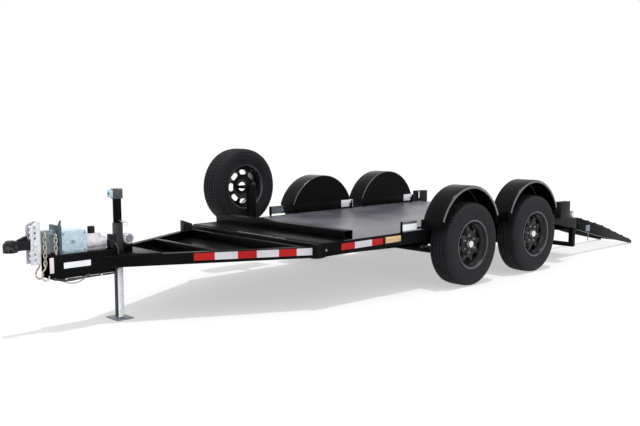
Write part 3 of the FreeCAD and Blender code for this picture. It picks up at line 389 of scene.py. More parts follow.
def boxMm(x0, x1, y0, y1, z0, z1, soft=0.0, segments=2):
    # a block between two corners, with its edges softened by metres
    a, b = at(x0, y0, z0), at(x1, y1, z1)
    size = [abs(q - p) for p, q in zip(a, b)]
    bm = bmesh.new()
    bmesh.ops.create_cube(bm, size=1.0, matrix=Matrix.Translation((a + b) / 2) @ Matrix.Diagonal((*size, 1)))
    mesh = meshOf(bm)
    return rounded(mesh, soft, segments) if soft else mesh


def hexaMesh(*blocks):
    # six-sided blocks, each from its eight corners
    bm = bmesh.new()
    for corners in blocks:
        spots = [bm.verts.new(corner) for corner in corners]
        for face in ((0, 1, 3, 2), (4, 6, 7, 5), (0, 4, 5, 1), (2, 3, 7, 6), (0, 2, 6, 4), (1, 5, 7, 3)):
            bm.faces.new([spots[i] for i in face])
    return solidOf(bm)


def drawnOut(outline, way):
    # a closed outline of points in metres, drawn out along a vector
    bm = bmesh.new()
    face = bm.faces.new([bm.verts.new(spot) for spot in outline])
    ends = bmesh.ops.extrude_face_region(bm, geom=[face])["geom"]
    bmesh.ops.translate(bm, vec=way, verts=[end for end in ends if isinstance(end, bmesh.types.BMVert)])
    return solidOf(bm)


def onCircle(radius, turn, height):
    # a spot around Z, in metres
    return radius / 1000 * cos(turn), radius / 1000 * sin(turn), height / 1000


def latheMesh(profile, steps=64, closed=False):
    # (radius, height) points turned about Z; ends at radius zero close by themselves
    bm = bmesh.new()
    rings = [[bm.verts.new(onCircle(r, tau * k / steps, z)) for k in range(steps if r else 1)]
             for r, z in profile]
    pairs = list(zip(rings, rings[1:]))
    if closed:
        pairs.append((rings[-1], rings[0]))
    for first, second in pairs:
        for k in range(steps):
            spots = ((first, k), (first, k + 1), (second, k + 1), (second, k))
            corners = list(dict.fromkeys(ring[i % len(ring)] for ring, i in spots))
            if len(corners) > 2:
                bm.faces.new(corners)
    return solidOf(bm)


def piece(name, parts, nodes=(), body="frame"):
    # joins (mesh, finish) parts into one object that rides on a body and stands for CAD nodes
    whole = bmesh.new()
    mesh = bpy.data.meshes.new(name)
    used = list(dict.fromkeys(look for part, look in parts))
    for part, look in parts:
        if "worn" not in part.attributes:
            part.attributes.new("worn", "FLOAT", "FACE")
        for polygon in part.polygons:
            polygon.material_index = used.index(look)
        whole.from_mesh(part)
    whole.to_mesh(mesh)
    whole.free()
    for look in used:
        mesh.materials.append(paint[look])
    for polygon in mesh.polygons:
        polygon.use_smooth = True
    mesh.set_sharp_from_angle(angle=radians(32))
    thing = added(name, mesh)
    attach(thing, body)
    if nodes:
        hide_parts(*nodes)
    return thing


def recolour(thing, look, test):
    # another finish on the faces whose middle and direction pass a test
    thing.data.materials.append(paint[look])
    for polygon in thing.data.polygons:
        spot = (polygon.center - at(0, 0, 0)) * 1000
        if test(spot, polygon.normal):
            polygon.material_index = len(thing.data.materials) - 1


def parted(mesh, spot, direction):
    # cuts the faces along a plane, so that each side of it can have its finish
    bm = bmesh.new()
    bm.from_mesh(mesh)
    everything = bm.verts[:] + bm.edges[:] + bm.faces[:]
    bmesh.ops.bisect_plane(bm, geom=everything, plane_co=spot, plane_no=direction)
    return meshOf(bm)


def copyOf(node, soft):
    # merged copy of a CAD node, with flat faces made whole again and its edges softened
    bm = bmesh.new()
    bm.from_mesh(cad[node].data)
    bmesh.ops.remove_doubles(bm, verts=bm.verts, dist=2e-5)
    bmesh.ops.dissolve_limit(bm, angle_limit=radians(0.6), verts=bm.verts, edges=bm.edges)
    return rounded(meshOf(bm), soft)


# node trees that repeat or follow

def geometryTree(name, inputs):
    inputs = (("Geometry", "Geometry", None), *inputs, ("Material", "Material", None))
    return openTree(name, "GeometryNodeTree", inputs, (("Geometry", "Geometry"),))


def dressed(tree, start, end, geometry):
    real = nodeIn(tree, "GeometryNodeRealizeInstances", {"Geometry": geometry}).outputs["Geometry"]
    dress = nodeIn(tree, "GeometryNodeSetMaterial", {"Geometry": real, "Material": start["Material"]})
    return joined(tree, end, {"Geometry": dress.outputs["Geometry"]})


def turnIn(tree, axis, angle):
    parts = nodeIn(tree, "ShaderNodeCombineXYZ", {axis: angle}).outputs[0]
    return nodeIn(tree, "FunctionNodeEulerToRotation", {0: parts}).outputs[0]


def lineIn(tree, start):
    return nodeIn(tree, "GeometryNodeMeshToCurve", {"Mesh": start["Geometry"]}).outputs["Curve"]


def filletIn(tree, curve, radius, count):
    values = {"Curve": curve, "Count": count, "Limit Radius": True, "Radius": radius}
    return nodeIn(tree, "GeometryNodeFilletCurve", values, mode="POLY").outputs["Curve"]


def skinIn(tree, curve, radius, count, caps):
    ring = nodeIn(tree, "GeometryNodeCurvePrimitiveCircle", {"Resolution": count, "Radius": radius})
    values = {"Curve": curve, "Profile Curve": ring.outputs["Curve"], "Fill Caps": caps}
    return nodeIn(tree, "GeometryNodeCurveToMesh", values).outputs["Mesh"]


def makeRingTree():
    # copies of the part around Z, each turned to face outwards
    tree, start, end = geometryTree("partsInARing", (
        ("Count", "Int", 8), ("Radius", "Float", 0.1), ("Start Angle", "Float", 0.0)))
    circle = nodeIn(tree, "GeometryNodeMeshCircle", {
        "Vertices": start["Count"], "Radius": start["Radius"]})
    number = nodeIn(tree, "GeometryNodeInputIndex").outputs["Index"]
    angle = mathOf(tree, mathOf(tree, number, start["Count"], "DIVIDE"), tau)
    copies = nodeIn(tree, "GeometryNodeInstanceOnPoints", {
        "Points": circle.outputs["Mesh"], "Instance": start["Geometry"],
        "Rotation": turnIn(tree, "Z", angle)})
    lean = nodeIn(tree, "ShaderNodeCombineXYZ", {"Z": start["Start Angle"]}).outputs[0]
    spin = nodeIn(tree, "GeometryNodeTransform", {"Geometry": copies.outputs["Instances"], "Rotation": lean})
    return dressed(tree, start, end, spin.outputs["Geometry"])


def makeTubeTree():
    # a round tube along the part's own line, with its corners rounded
    tree, start, end = geometryTree("tubeAlongLine", (
        ("Radius", "Float", 0.01), ("Corner", "Float", 0.02), ("Sides", "Int", 12)))
    curve = filletIn(tree, lineIn(tree, start), start["Corner"], 5)
    return dressed(tree, start, end, skinIn(tree, curve, start["Radius"], start["Sides"], True))


def makeChainTree():
    # oval links along the part's own line, every other one turned a quarter
    tree, start, end = geometryTree("linksAlongLine", (
        ("Count", "Int", 10), ("Link Length", "Float", 0.033), ("Link Width", "Float", 0.020),
        ("Wire", "Float", 0.0035), ("Bend", "Float", 0.0098)))
    spots = nodeIn(tree, "GeometryNodeResampleCurve", {"Curve": lineIn(tree, start), "Count": start["Count"]})
    oval = nodeIn(tree, "GeometryNodeCurvePrimitiveQuadrilateral", {
        "Width": start["Link Length"], "Height": start["Link Width"]}).outputs["Curve"]
    link = skinIn(tree, filletIn(tree, oval, start["Bend"], 3), start["Wire"], 8, False)
    along = nodeIn(tree, "GeometryNodeInputTangent").outputs["Tangent"]
    aim = nodeIn(tree, "FunctionNodeAlignRotationToVector", {"Vector": along}, axis="X").outputs["Rotation"]
    number = nodeIn(tree, "GeometryNodeInputIndex").outputs["Index"]
    quarter = turnIn(tree, "X", mathOf(tree, number, pi / 2))
    turn = nodeIn(tree, "FunctionNodeRotateRotation", {
        "Rotation": aim, "Rotate By": quarter}, rotation_space="LOCAL")
    copies = nodeIn(tree, "GeometryNodeInstanceOnPoints", {
        "Points": spots.outputs["Curve"], "Instance": link, "Rotation": turn.outputs["Rotation"]})
    return dressed(tree, start, end, copies.outputs["Instances"])


def makeBeadTree():
    # overlapping ripples of weld along the part's own line, a little uneven
    tree, start, end = geometryTree("weldAlongLine", (
        ("Pitch", "Float", 0.005), ("Radius", "Float", 0.004), ("Seed", "Int", 7)))
    spots = nodeIn(tree, "GeometryNodeResampleCurve", {
        "Curve": lineIn(tree, start), "Length": start["Pitch"]}, mode="LENGTH")
    drop = nodeIn(tree, "GeometryNodeMeshIcoSphere", {"Subdivisions": 2, "Radius": start["Radius"]})
    uneven = nodeIn(tree, "FunctionNodeRandomValue", {2: 0.8, 3: 1.15, "Seed": start["Seed"]})
    copies = nodeIn(tree, "GeometryNodeInstanceOnPoints", {
        "Points": spots.outputs["Curve"], "Instance": drop.outputs["Mesh"], "Scale": uneven.outputs[1]})
    return dressed(tree, start, end, copies.outputs["Instances"])


trees = {"ring": makeRingTree(), "tube": makeTubeTree(), "chain": makeChainTree(), "bead": makeBeadTree()}


def grown(kind, mesh, look, values):
    # a node tree's result as a plain mesh
    def modify(holder):
        modifier = holder.modifiers.new("grow", "NODES")
        modifier.node_group = trees[kind]
        given = dict(values, Material=paint[look])
        for item in trees[kind].interface.items_tree:
            if item.in_out == "INPUT" and item.name in given:
                modifier[item.identifier] = given[item.name]
    result = evaluated(mesh, modify)
    if "worn" not in result.attributes:
        result.attributes.new("worn", "FLOAT", "FACE")
    result.materials.clear()
    return result


def lineMesh(points):
    mesh = bpy.data.meshes.new("line")
    mesh.from_pydata([tuple(p) for p in points], [(k, k + 1) for k in range(len(points) - 1)], [])
    return mesh


def tubeMesh(points, radius, look, corner=20, ends=12):
    values = {"Radius": radius / 1000, "Corner": corner / 1000, "Sides": ends}
    return outward(grown("tube", lineMesh(points), look, values))


def beadMesh(points, radius=4):
    # a weld bead between points, made of overlapping drops
    values = {"Pitch": radius / 1000 * 1.1, "Radius": radius / 1000, "Seed": 7}
    return grown("bead", lineMesh(points), "framePaint", values)


def torusMesh(radius, wire):
    # a ring about Z
    around = [tau * k / 12 for k in range(12)]
    return latheMesh([(radius + wire * cos(a), wire * sin(a)) for a in around], 32, closed=True)


def hexNut(radius, height):
    outline = [onCircle(radius, tau * k / 6, 0) for k in range(6)]
    return rounded(drawnOut(outline, (0, 0, height / 1000)), radius / 10000, 1)


def boltMesh(spot, radius, height, direction):
    return aimed(hexNut(radius, height), at(*spot), direction)


def diskMesh(spot, radius, height, direction, steps=24):
    # a short rounded cylinder from a spot outwards
    soft = min(radius, height) * 0.25
    profile = [(0, 0), (radius, 0), (radius, height - soft), (radius - soft, height), (0, height)]
    return aimed(latheMesh(profile, steps), at(*spot), direction)


# camera, floor and light, in metres

def stand(name, data, place, toward):
    # a camera or a lamp at a place, turned along a direction
    thing = added(name, data)
    thing.location = place
    thing.rotation_euler = toward.to_track_quat("-Z", "Y").to_euler()
    return thing


view = {"place": (5.448, 5.071, 1.354), "turn": 0.811147, "dip": 0.110722, "lens": 46.79}
level = cos(view["dip"])
aim = Vector((-cos(view["turn"]) * level, -sin(view["turn"]) * level, -sin(view["dip"])))
scene.camera = stand("camera", bpy.data.cameras.new("camera"), view["place"], aim)
optics = scene.camera.data
optics.lens = view["lens"]
optics.sensor_width = 36
optics.sensor_fit = "HORIZONTAL"
optics.clip_end = 400

ground = {"half": 60, "thick": 0.01, "below": 0.0102}
half, low = ground["half"], -ground["below"]
edges = [(-half, -half, low), (half, -half, low), (half, half, low), (-half, half, low)]
floor = added("floor", drawnOut(edges, (0, 0, ground["thick"])))
floor.data.materials.append(finish("paleFloor", dict(
    base=(0.32, 0.32, 0.32), tint=(0.33, 0.33, 0.33), patch=0.4, rough=(0.8, 0.9), specular=0.05, glow=0.49,
    dust=0.0, wear=0.0, grain=20.0, bump=0.02)))

light = {"sky": 1.0, "above": 2.6, "spread": 3.0, "toward": (0.03, -0.06, -1),
         "side": 60.0, "sideSize": 4.0, "sidePlace": (1.5, 7.0, 3.2), "sideAim": (0.5, 0.5, 0.3)}
scene.view_settings.view_transform = "Standard"
scene.world = bpy.data.worlds.new("studio")
scene.world.use_nodes = True
sky = scene.world.node_tree.nodes["Background"].inputs
sky["Color"].default_value = (1.0, 1.0, 1.0, 1)
sky["Strength"].default_value = light["sky"]
lamp = stand("above", bpy.data.lights.new("above", "SUN"), (0, 0, 0), Vector(light["toward"]))
lamp.data.energy = light["above"]
lamp.data.angle = radians(light["spread"])
panel = stand("sidePanel", bpy.data.lights.new("sidePanel", "AREA"), light["sidePlace"],
              Vector(light["sideAim"]) - Vector(light["sidePlace"]))
panel.data.energy = light["side"]
panel.data.size = light["sideSize"]
print("camera, floor and light are set")


# tyres and wheels: (radius, distance from the wheel's middle) points

tyreLook = {
    "pitches": 64, "steps": 96,
    # from the bead up the side wall to the shoulder
    "wall": ((192.4, 88.0), (196, 91.4), (203, 91.8), (207, 95.2), (211, 98.6), (217, 99.4), (221, 97.6),
        (232, 99.6), (246, 101.2), (262, 101.9), (276, 101.5), (288, 100.4), (290, 101.2), (294, 101.2),
        (296, 99.4), (304, 97.6), (312, 95.4), (314, 96.0), (318, 95.4), (320, 92.8), (327, 89.6),
        (333, 84.6), (335.5, 78.0)),
    "base": ((334.8, 50), (335.2, 0), (334.8, -50)), "bead": ((192.4, -50), (192.4, 50)),
    # start and end of each tread rib across the tread, how far up it goes, its fill of a pitch and its lean
    "ribs": ((-84, -54, 342.4, 0.80, -0.096), (-46, -20, 343.6, 0.86, 0.16), (-13, 13, 343.6, 0.86, -0.16),
        (20, 46, 343.6, 0.86, 0.16), (54, 84, 342.4, 0.80, -0.096)),
    "root": 332, "inset": 1.2, "shoulder": 70, "drops": (6, 4)}


def makeTyre():
    s = tyreLook
    mirrored = [(r, -y) for r, y in reversed(s["wall"])]
    carcass = latheMesh([*s["wall"], *s["base"], *mirrored, *s["bead"]], s["steps"], closed=True)
    # one pitch of the tread: five blocks with slanted ends
    pitch = tau / s["pitches"]
    blocks = []
    for low, high, rim, fill, lean in s["ribs"]:
        corners = []
        for radius, inset, drop in ((s["root"], 0, s["drops"][0]), (rim, s["inset"], s["drops"][1])):
            for edge, slant in ((low + inset, -lean), (high - inset, lean)):
                reach = radius - drop if abs(edge) > s["shoulder"] else radius
                corners += [onCircle(reach, (way + slant) * pitch, edge) for way in (-fill / 2, fill / 2)]
        blocks.append(corners)
    return carcass, grown("ring", hexaMesh(*blocks), "tyreRubber", {"Count": s["pitches"], "Radius": 0.0})


wheelLook = {
    "rim": ((206, 98), (207, 95), (205.6, 92.3), (196, 92.1), (192.2, 91), (191.4, 72), (186, 62),
        (170, 46), (168, 24), (170, -10), (178, -40), (190, -70), (192, -90), (203, -92.3), (206, -93),
        (206, -98), (201, -98.1), (188, -96), (184, -72), (174, -44), (165.5, -12), (163.5, 24), (165, 50),
        (180, 66), (186, 74), (188, 92), (197, 97.6), (202, 98.1)),
    "lip": ((207, 94), (206.6, 97.4), (203, 98.1), (197, 97.8), (190, 94.6), (187, 86), (186.4, 78),
        (188, 84), (191, 91)),
    # the dished disc, from the rim in to the hub, cut as windows between two of its rings
    "disc": ((167, 34), (163, 45), (156, 51), (148, 54), (137, 57), (126, 59), (116, 59), (108, 56),
        (100, 50), (90, 42), (82, 39), (58, 39), (50, 41), (43, 46)),
    "windows": 8, "fine": 12, "firstRing": 2, "lastRing": 6, "narrow": 3, "wide": 4,
    "thick": 5.5, "soft": 1.2, "softAngle": 50}


def makeWheel():
    s = wheelLook
    bm = bmesh.new()
    count = s["windows"] * s["fine"]
    grid = [[bm.verts.new(onCircle(r, tau * k / count, z)) for k in range(count)] for r, z in s["disc"]]
    for i, (outer, inner) in enumerate(zip(grid, grid[1:])):
        wide = s["narrow"] if i in (s["firstRing"], s["lastRing"]) else s["wide"]
        for k in range(count):
            fromMiddle = abs(k % s["fine"] - (s["fine"] - 1) / 2)
            if not (s["firstRing"] <= i <= s["lastRing"] and fromMiddle < wide):
                n = (k + 1) % count
                bm.faces.new((outer[k], outer[n], inner[n], inner[k]))
    bmesh.ops.recalc_face_normals(bm, faces=bm.faces)
    if sum(f.normal.z for f in bm.faces) < 0:
        bmesh.ops.reverse_faces(bm, faces=bm.faces)

    def thicken(holder):
        wall = holder.modifiers.new("wall", "SOLIDIFY")
        wall.thickness = s["thick"] / 1000
        wall.offset = -1
        soften(holder, s["soft"] / 1000, 2, s["softAngle"])
    rim, lip = [latheMesh(s[key], 96, closed=True) for key in ("rim", "lip")]
    return rim, lip, evaluated(meshOf(bm), thicken)


hubLook = {
    "drum": ((20.5, -46), (118, -46), (128, -44), (134.6, -40), (134.6, -30), (131, -27), (131, 18),
        (134, 22), (130, 30), (120, 33.6), (80, 33.8), (60, 33.9), (42, 33.9), (41.6, 52), (38, 58),
        (30, 60), (20.5, 60)),
    "cap": ((20.5, 58), (31, 58), (31, 62), (29.6, 64), (29, 74), (27, 77.2), (22, 78), (10, 78),
        (0, 77.4)),
    "dome": ((10.5, 15), (10, 20), (7, 24.5), (0, 26)),
    "nuts": 6, "nutRadius": 12.5, "nutHeight": 16, "nutCircle": 69.85, "nutSeat": 38.6, "nutTurn": 0.35}


def makeHub():
    # drum behind the disc, hub boss, bright cap and the nuts
    s = hubLook
    both = bmesh.new()
    both.from_mesh(hexNut(s["nutRadius"], s["nutHeight"]))
    both.from_mesh(latheMesh(s["dome"], 16))
    nuts = grown("ring", meshOf(both), "brightSteel", {
        "Count": s["nuts"], "Radius": s["nutCircle"] / 1000, "Start Angle": s["nutTurn"]})
    moved(nuts, Matrix.Translation((0, 0, s["nutSeat"] / 1000)))
    return latheMesh(s["drum"], 72, closed=True), latheMesh(s["cap"], 48), nuts


def wheelMatrix(x, y, z, side, spin):
    # local Z points outwards, away from the trailer
    turn = Matrix.Rotation(-side * pi / 2, 4, "X") @ Matrix.Rotation(spin, 4, "Z")
    return Matrix.Translation(at(x, y, z)) @ turn


def placed(parts, looks, matrix):
    return [(moved(part.copy(), matrix), look) for part, look in zip(parts, looks)]


stance = {"track": 902, "height": 344, "front": 0.2, "rear": 0.55,
          "spare": (1335, -990, 757), "spareSpin": pi / 8}
wheelSet = (("tyre", "tyre", makeTyre(), ("tyreRubber", "tyreRubber")),
            ("wheel", "wheel_black", makeWheel(), ("wheelPaint", "rimLip", "wheelPaint")),
            ("hub", "hub_metal", makeHub(), ("drumIron", "brightSteel", "slideGrey")))
for end, x in axles:
    for name, side in sides:
        tag = end + "_" + name
        place = wheelMatrix(x, side * stance["track"], stance["height"], side, stance[end])
        for kind, slot, parts, looks in wheelSet:
            node = kind + "_" + tag
            piece(kind + "_dressed_" + tag, placed(parts, looks, place), [node], tag + "_wheel")
place = wheelMatrix(*stance["spare"], 1, stance["spareSpin"])
for kind, slot, parts, looks in wheelSet[:2]:
    piece("spare_" + kind + "_dressed", placed(parts, looks, place), ["spare_" + kind])
print("tyres and wheels are on")


# deck, rails and the frame under them: each piece's CAD node and the radius of its edges in metres

plain = {
    "deck_sheet": ("deck_plate", 0.0012), "rail_left": ("side_rail_left", 0.003),
    "rail_right": ("side_rail_right", 0.003), "cross_bars": ("cross_members", 0.003),
    "end_bars": ("end_members", 0.003), "wheel_stop": ("stop_rail", 0.006),
    "tongue_left": ("tongue_rail_left", 0.006), "tongue_right": ("tongue_rail_right", 0.006),
    "tongue_bars": ("tongue_ties", 0.003), "tongue_sheet": ("tongue_plate", 0.0015),
    "nose_box": ("nose", 0.004), "guard_bar": ("rear_guard", 0.004),
    "hangers": ("spring_hangers", 0.0015), "springs": ("leaf_springs", 0.001),
    "front_beam": ("axle_front", 0.002), "rear_beam": ("axle_rear", 0.002),
    "lamp_arms": ("lamp_brackets", 0.0015), "braces_left": ("fender_braces_left", 0.003),
    "braces_right": ("fender_braces_right", 0.003), "spare_post": ("spare_mount", 0.004)}
plainLooks = {"deck_sheet": ("deckPaint", "deck_black"), "springs": ("springSteel", "spring_steel")}
stopFront = span("stop_rail")[1]
for name, (node, soft) in plain.items():
    look, slot = plainLooks.get(name, ("framePaint", "frame_black"))
    shape = copyOf(node, soft)
    if name == "deck_sheet":
        shape = parted(shape, at(stopFront, 0, 0), (1, 0, 0))
    thing = piece(name, [(shape, look)], [node])
    if name == "deck_sheet":
        recolour(thing, "framePaint", lambda spot, facing: spot.x > stopFront)
for name, side in sides:
    for kind, node, soft, body in (("ramp", "ramp_", 0.002, name + "_ramp"),
                                   ("hinge", "ramp_hinge_", 0.0012, "frame")):
        parts = [(copyOf(node + name, soft), "framePaint")]
        piece(kind + "_dressed_" + name, parts, [node + name], body)
print("the frame is dressed")


# reflective tape, marker lamps and the blank label

tape = {
    "low": 401, "high": 452, "thick": 0.5, "marks": (2785, 2656, 2513, 2393, 2252, 2136, 2034),
    "railLow": 412, "railHigh": 461, "railThick": 0.6,
    "railMarks": ((1781, 1640, "tapeRed"), (1640, 1456, "tapeWhite"), (1456, 1330, "tapeRed"))}
marker = {"back": 1129, "front": 1321, "rim": 8, "base": (406, 473), "lens": (416, 463)}
labelBox = (3405, 3594, 80, 80.8, 409, 447)
# the tongue rails' outer faces run from the nose back by run while they spread by spread
tongue = {"run": 1350, "spread": 687, "front": 3225, "half": 80, "width": 50}
slant = hypot(tongue["run"], tongue["spread"])
outOfTongue = Vector((tongue["spread"], tongue["run"], 0)) / slant


def tongueFace(x):
    # half width of the tongue's outer face at a place along it
    tip = tongue["front"] + tongue["width"] * slant / tongue["spread"]
    return tongue["half"] + (tip - x) * tongue["spread"] / tongue["run"]


for name, side in sides:
    strips = []
    for k, (front, back) in enumerate(zip(tape["marks"], tape["marks"][1:])):
        corners = [at(x + outOfTongue.x * off, side * (tongueFace(x) + outOfTongue.y * off), z)
                   for off in (0, tape["thick"]) for x in (front, back) for z in (tape["low"], tape["high"])]
        strips.append((hexaMesh(corners), "tapeWhite" if k % 2 else "tapeRed"))
    for front, back, look in tape["railMarks"]:
        strips.append((boxMm(front, back, side * railFace, side * (railFace + tape["railThick"]),
                             tape["railLow"], tape["railHigh"]), look))
    piece("tape_" + name, strips)
    back, front, rim = marker["back"], marker["front"], marker["rim"]
    piece("side_marker_" + name, [
        (boxMm(back, front, side * railFace, side * (railFace + 3), *marker["base"], 0.001), "mouldedBlack"),
        (boxMm(back + rim, front - rim, side * (railFace + 2), side * (railFace + 16), *marker["lens"],
               0.006, 3), "lensAmber")])
piece("blank_label", [(boxMm(*labelBox, 0.0002, 1), "labelWhite")])
print("tape and lamps are on")


# the rest of the CAD pieces: finish, edge radius in metres and slot

others = {
    "jack_housing": ("jackPaint", 0.003, "frame_black"),
    "jack_tube": ("framePaint", 0.001, "frame_black"),
    "jack_head": ("brightSteel", 0.003, "bright_steel"),
    "jack_leg": ("zinc", 0.002, "zinc"),
    "actuator": ("paleZinc", 0.004, "zinc"),
    "master_cylinder": ("castPale", 0.004, "zinc"),
    "reservoir_cap": ("mouldedBlack", 0.003, "black_plastic"),
    "coupler_channel": ("zinc", 0.002, "zinc"),
    "coupler": ("couplerPaint", 0.004, "coupler_black"),
    "coupler_latch": ("couplerPaint", 0.002, "coupler_black"),
    "side_plates": ("labelWhite", 0.0015, "bright_steel"),
    "tail_lamps": ("mouldedBlack", 0.006, "lamp_red")}
# where a piece changes its finish: the nose's upright plate and slide, the jack's cap and can, its foot,
# the leg's front face in dark zinc as painted shade, the far side plates in grey as painted shade,
# and the side plates' bright face, which is below the top strip and above the stem
plateBack, plateFront, slideSide, capLow, canFront, footEdge, footTop = 3595, 3617, 31, 829, 3130, 12, 14
brightTop, brightLow = [span("side_plates")[5] - down for down in (22, 66)]
brightInner, brightBack = 803, 960
shades = {
    "actuator": (
        ("slideGrey", lambda spot, facing: spot.x > plateFront),
        ("brightSteel", lambda spot, facing: spot.x > plateFront and abs(spot.y) > slideSide),
        ("tealPlate", lambda spot, facing: plateBack < spot.x < plateFront)),
    "jack_head": (
        ("capGrey", lambda spot, facing: spot.z > capLow),
        ("castPale", lambda spot, facing: spot.x < canFront)),
    "jack_leg": (
        # the leg's front face, darker as painted shade
        ("paintedShadeZinc", lambda spot, facing: facing.x > 0.8 and spot.z > footEdge),
        ("slideGrey", lambda spot, facing: spot.z < footTop)),
    "side_plates": (
        # the far side's plates in grey as painted shade, the near side's stay white
        ("slideGrey", lambda spot, facing: spot.y < 0),
        ("deckPaint", lambda spot, facing: spot.z > brightTop and facing.y > 0.5),
        ("framePaint", lambda spot, facing: (
            abs(spot.y) < brightInner or spot.x < brightBack or spot.z < brightLow))),
    "tail_lamps": (("lensRed", lambda spot, facing: facing.x < -0.9),)}
for node, (look, soft, slot) in others.items():
    shape = copyOf(node, soft)
    if node == "side_plates":
        shape = parted(shape, at(0, 0, brightTop), (0, 0, 1))
    body = "drop_leg" if node == "jack_leg" else "frame"
    thing = piece(node + "_dressed", [(shape, look)], [node], body)
    for shade, test in shades.get(node, ()):
        recolour(thing, shade, test)
print("the nose and the jack are dressed")


# safety chains: two strands of links on each side and a hook

chain = {
    "front": {"x": 3700, "y": 43.8, "top": 631.3, "count": 8},
    "rear": {"x": 3640, "y": 70.8, "top": 622.1, "count": 5},
    "step": 25.7, "hookTop": 441, "hookWire": 6, "eyeRadius": 8.5, "eyeWire": 3.6,
    # the hook's line down from its eye, (sideways, down) from the strand's foot
    "hook": ((0, 0), (0, 22), (25, 50), (25, 86), (7, 102), (-7, 102), (-25, 86), (-25, 72))}


def strandMesh(row, side):
    low = row["top"] - chain["step"] * (row["count"] - 1)
    points = [at(row["x"], side * row["y"], z) for z in (row["top"], low)]
    return grown("chain", lineMesh(points), "platedYellow", {"Count": row["count"]})


for name, side in sides:
    row = chain["front"]
    y = side * row["y"]
    hookLine = [at(row["x"] + across, y, chain["hookTop"] - down) for across, down in chain["hook"]]
    top = at(row["x"], y, chain["hookTop"] - 1)
    eye = aimed(torusMesh(chain["eyeRadius"], chain["eyeWire"]), top, (0, 1, 0))
    hook = tubeMesh(hookLine, chain["hookWire"], "platedYellow", 12)
    strands = [strandMesh(chain[end], side) for end in ("front", "rear")]
    parts = [(part, "platedYellow") for part in (*strands, hook, eye)]
    piece("chain_dressed_" + name, parts, ["safety_chain_" + name])
print("the chains hang")


# fenders with a rolled outer lip, whose highlight is painted in a lighter grey

fender = {
    # edge is how far in the lip's painted highlight reaches, panel the thickness of the sheet on the deck's
    # side
    "radius": 410, "centre": 417, "end": 562, "inner": 785, "outer": 980, "edge": 4, "steps": 40,
    "panel": 3,
    # round beads along the edges, in the painted highlight: (up from the radius, from the centre line,
    # radius)
    "beads": ((-20, 975, 5), (-4, 788, 4.5)),
    # the shell's section: (from the outer edge, up from the radius) along its top and back under it
    "section": ((-195, 0), (-135, 0), (-14, 0), (-7, -1.2), (-2, -5), (0, -11), (0, -24), (-3, -24),
        (-3, -12), (-8, -6), (-16, -3), (-192, -3)),
    "skirtHalf": 358, "skirt": (784, 788, 486, 566)}


def makeFender(x, side):
    s = fender
    reach = acos((s["end"] - s["centre"]) / s["radius"])
    turns = [-reach + 2 * reach * k / s["steps"] for k in range(s["steps"] + 1)]

    def arc(up, y):
        # the fender's arc at a distance from the centre line, raised from its radius
        r = s["radius"] + up
        return [at(x + r * sin(turn), side * y, s["centre"] + r * cos(turn)) for turn in turns]
    bm = bmesh.new()
    lines = [[bm.verts.new(spot) for spot in arc(up, s["outer"] + y)] for y, up in s["section"]]
    rings = list(zip(*lines))
    for first, second in zip(rings, rings[1:]):
        for i in range(len(first)):
            j = (i + 1) % len(first)
            bm.faces.new((first[i], first[j], second[j], second[i]))
    bm.faces.new(rings[0])
    bm.faces.new(list(reversed(rings[-1])))
    # closed panel on the deck's side
    closing = drawnOut(arc(-1, s["inner"]), (0, side * s["panel"] / 1000, 0))
    return [(solidOf(bm), "fenderPaint"), (closing, "framePaint"),
            *[(tubeMesh(arc(up, y), radius, "lipHighlightPaint", 0, 10), "lipHighlightPaint") for up, y, radius in s["beads"]]]


for end, x in axles:
    for name, side in sides:
        tag = end + "_" + name
        thing = piece("fender_dressed_" + tag, makeFender(x, side), ["fender_" + tag])
        # the lip's outward face takes the painted highlight
        recolour(thing, "lipHighlightPaint", lambda spot, facing: (
            facing.y * side > 0.6 and abs(spot.y) > fender["outer"] - fender["edge"]))
        half, (inner, outer, low, high) = fender["skirtHalf"], fender["skirt"]
        piece("fender_skirt_" + tag, [
            (boxMm(x - half, x + half, side * inner, side * outer, low, high, 0.001), "framePaint")])
print("fenders are on")


# black sheet that closes the tongue as painted shade for its dark inside, on the rails' lower flanges and
# under the ties

flange = 7
sheetLow, sheetHigh = span("tongue_rail_left")[4] + flange, span("tongue_ties")[4]
inset = flange * slant / tongue["run"]
ends = [(x, tongueFace(x) - inset) for x in (span("end_members")[1], span("tongue_plate")[0])]
sheetCorners = [at(x, y, sheetLow) for x, y in ends] + [at(x, -y, sheetLow) for x, y in reversed(ends)]
piece("tongue_shade_sheet", [
    (drawnOut(sheetCorners, (0, 0, (sheetHigh - sheetLow) / 1000)), "framePaint")])


# small parts on the nose: hoses, loom, strap, fittings and bolts

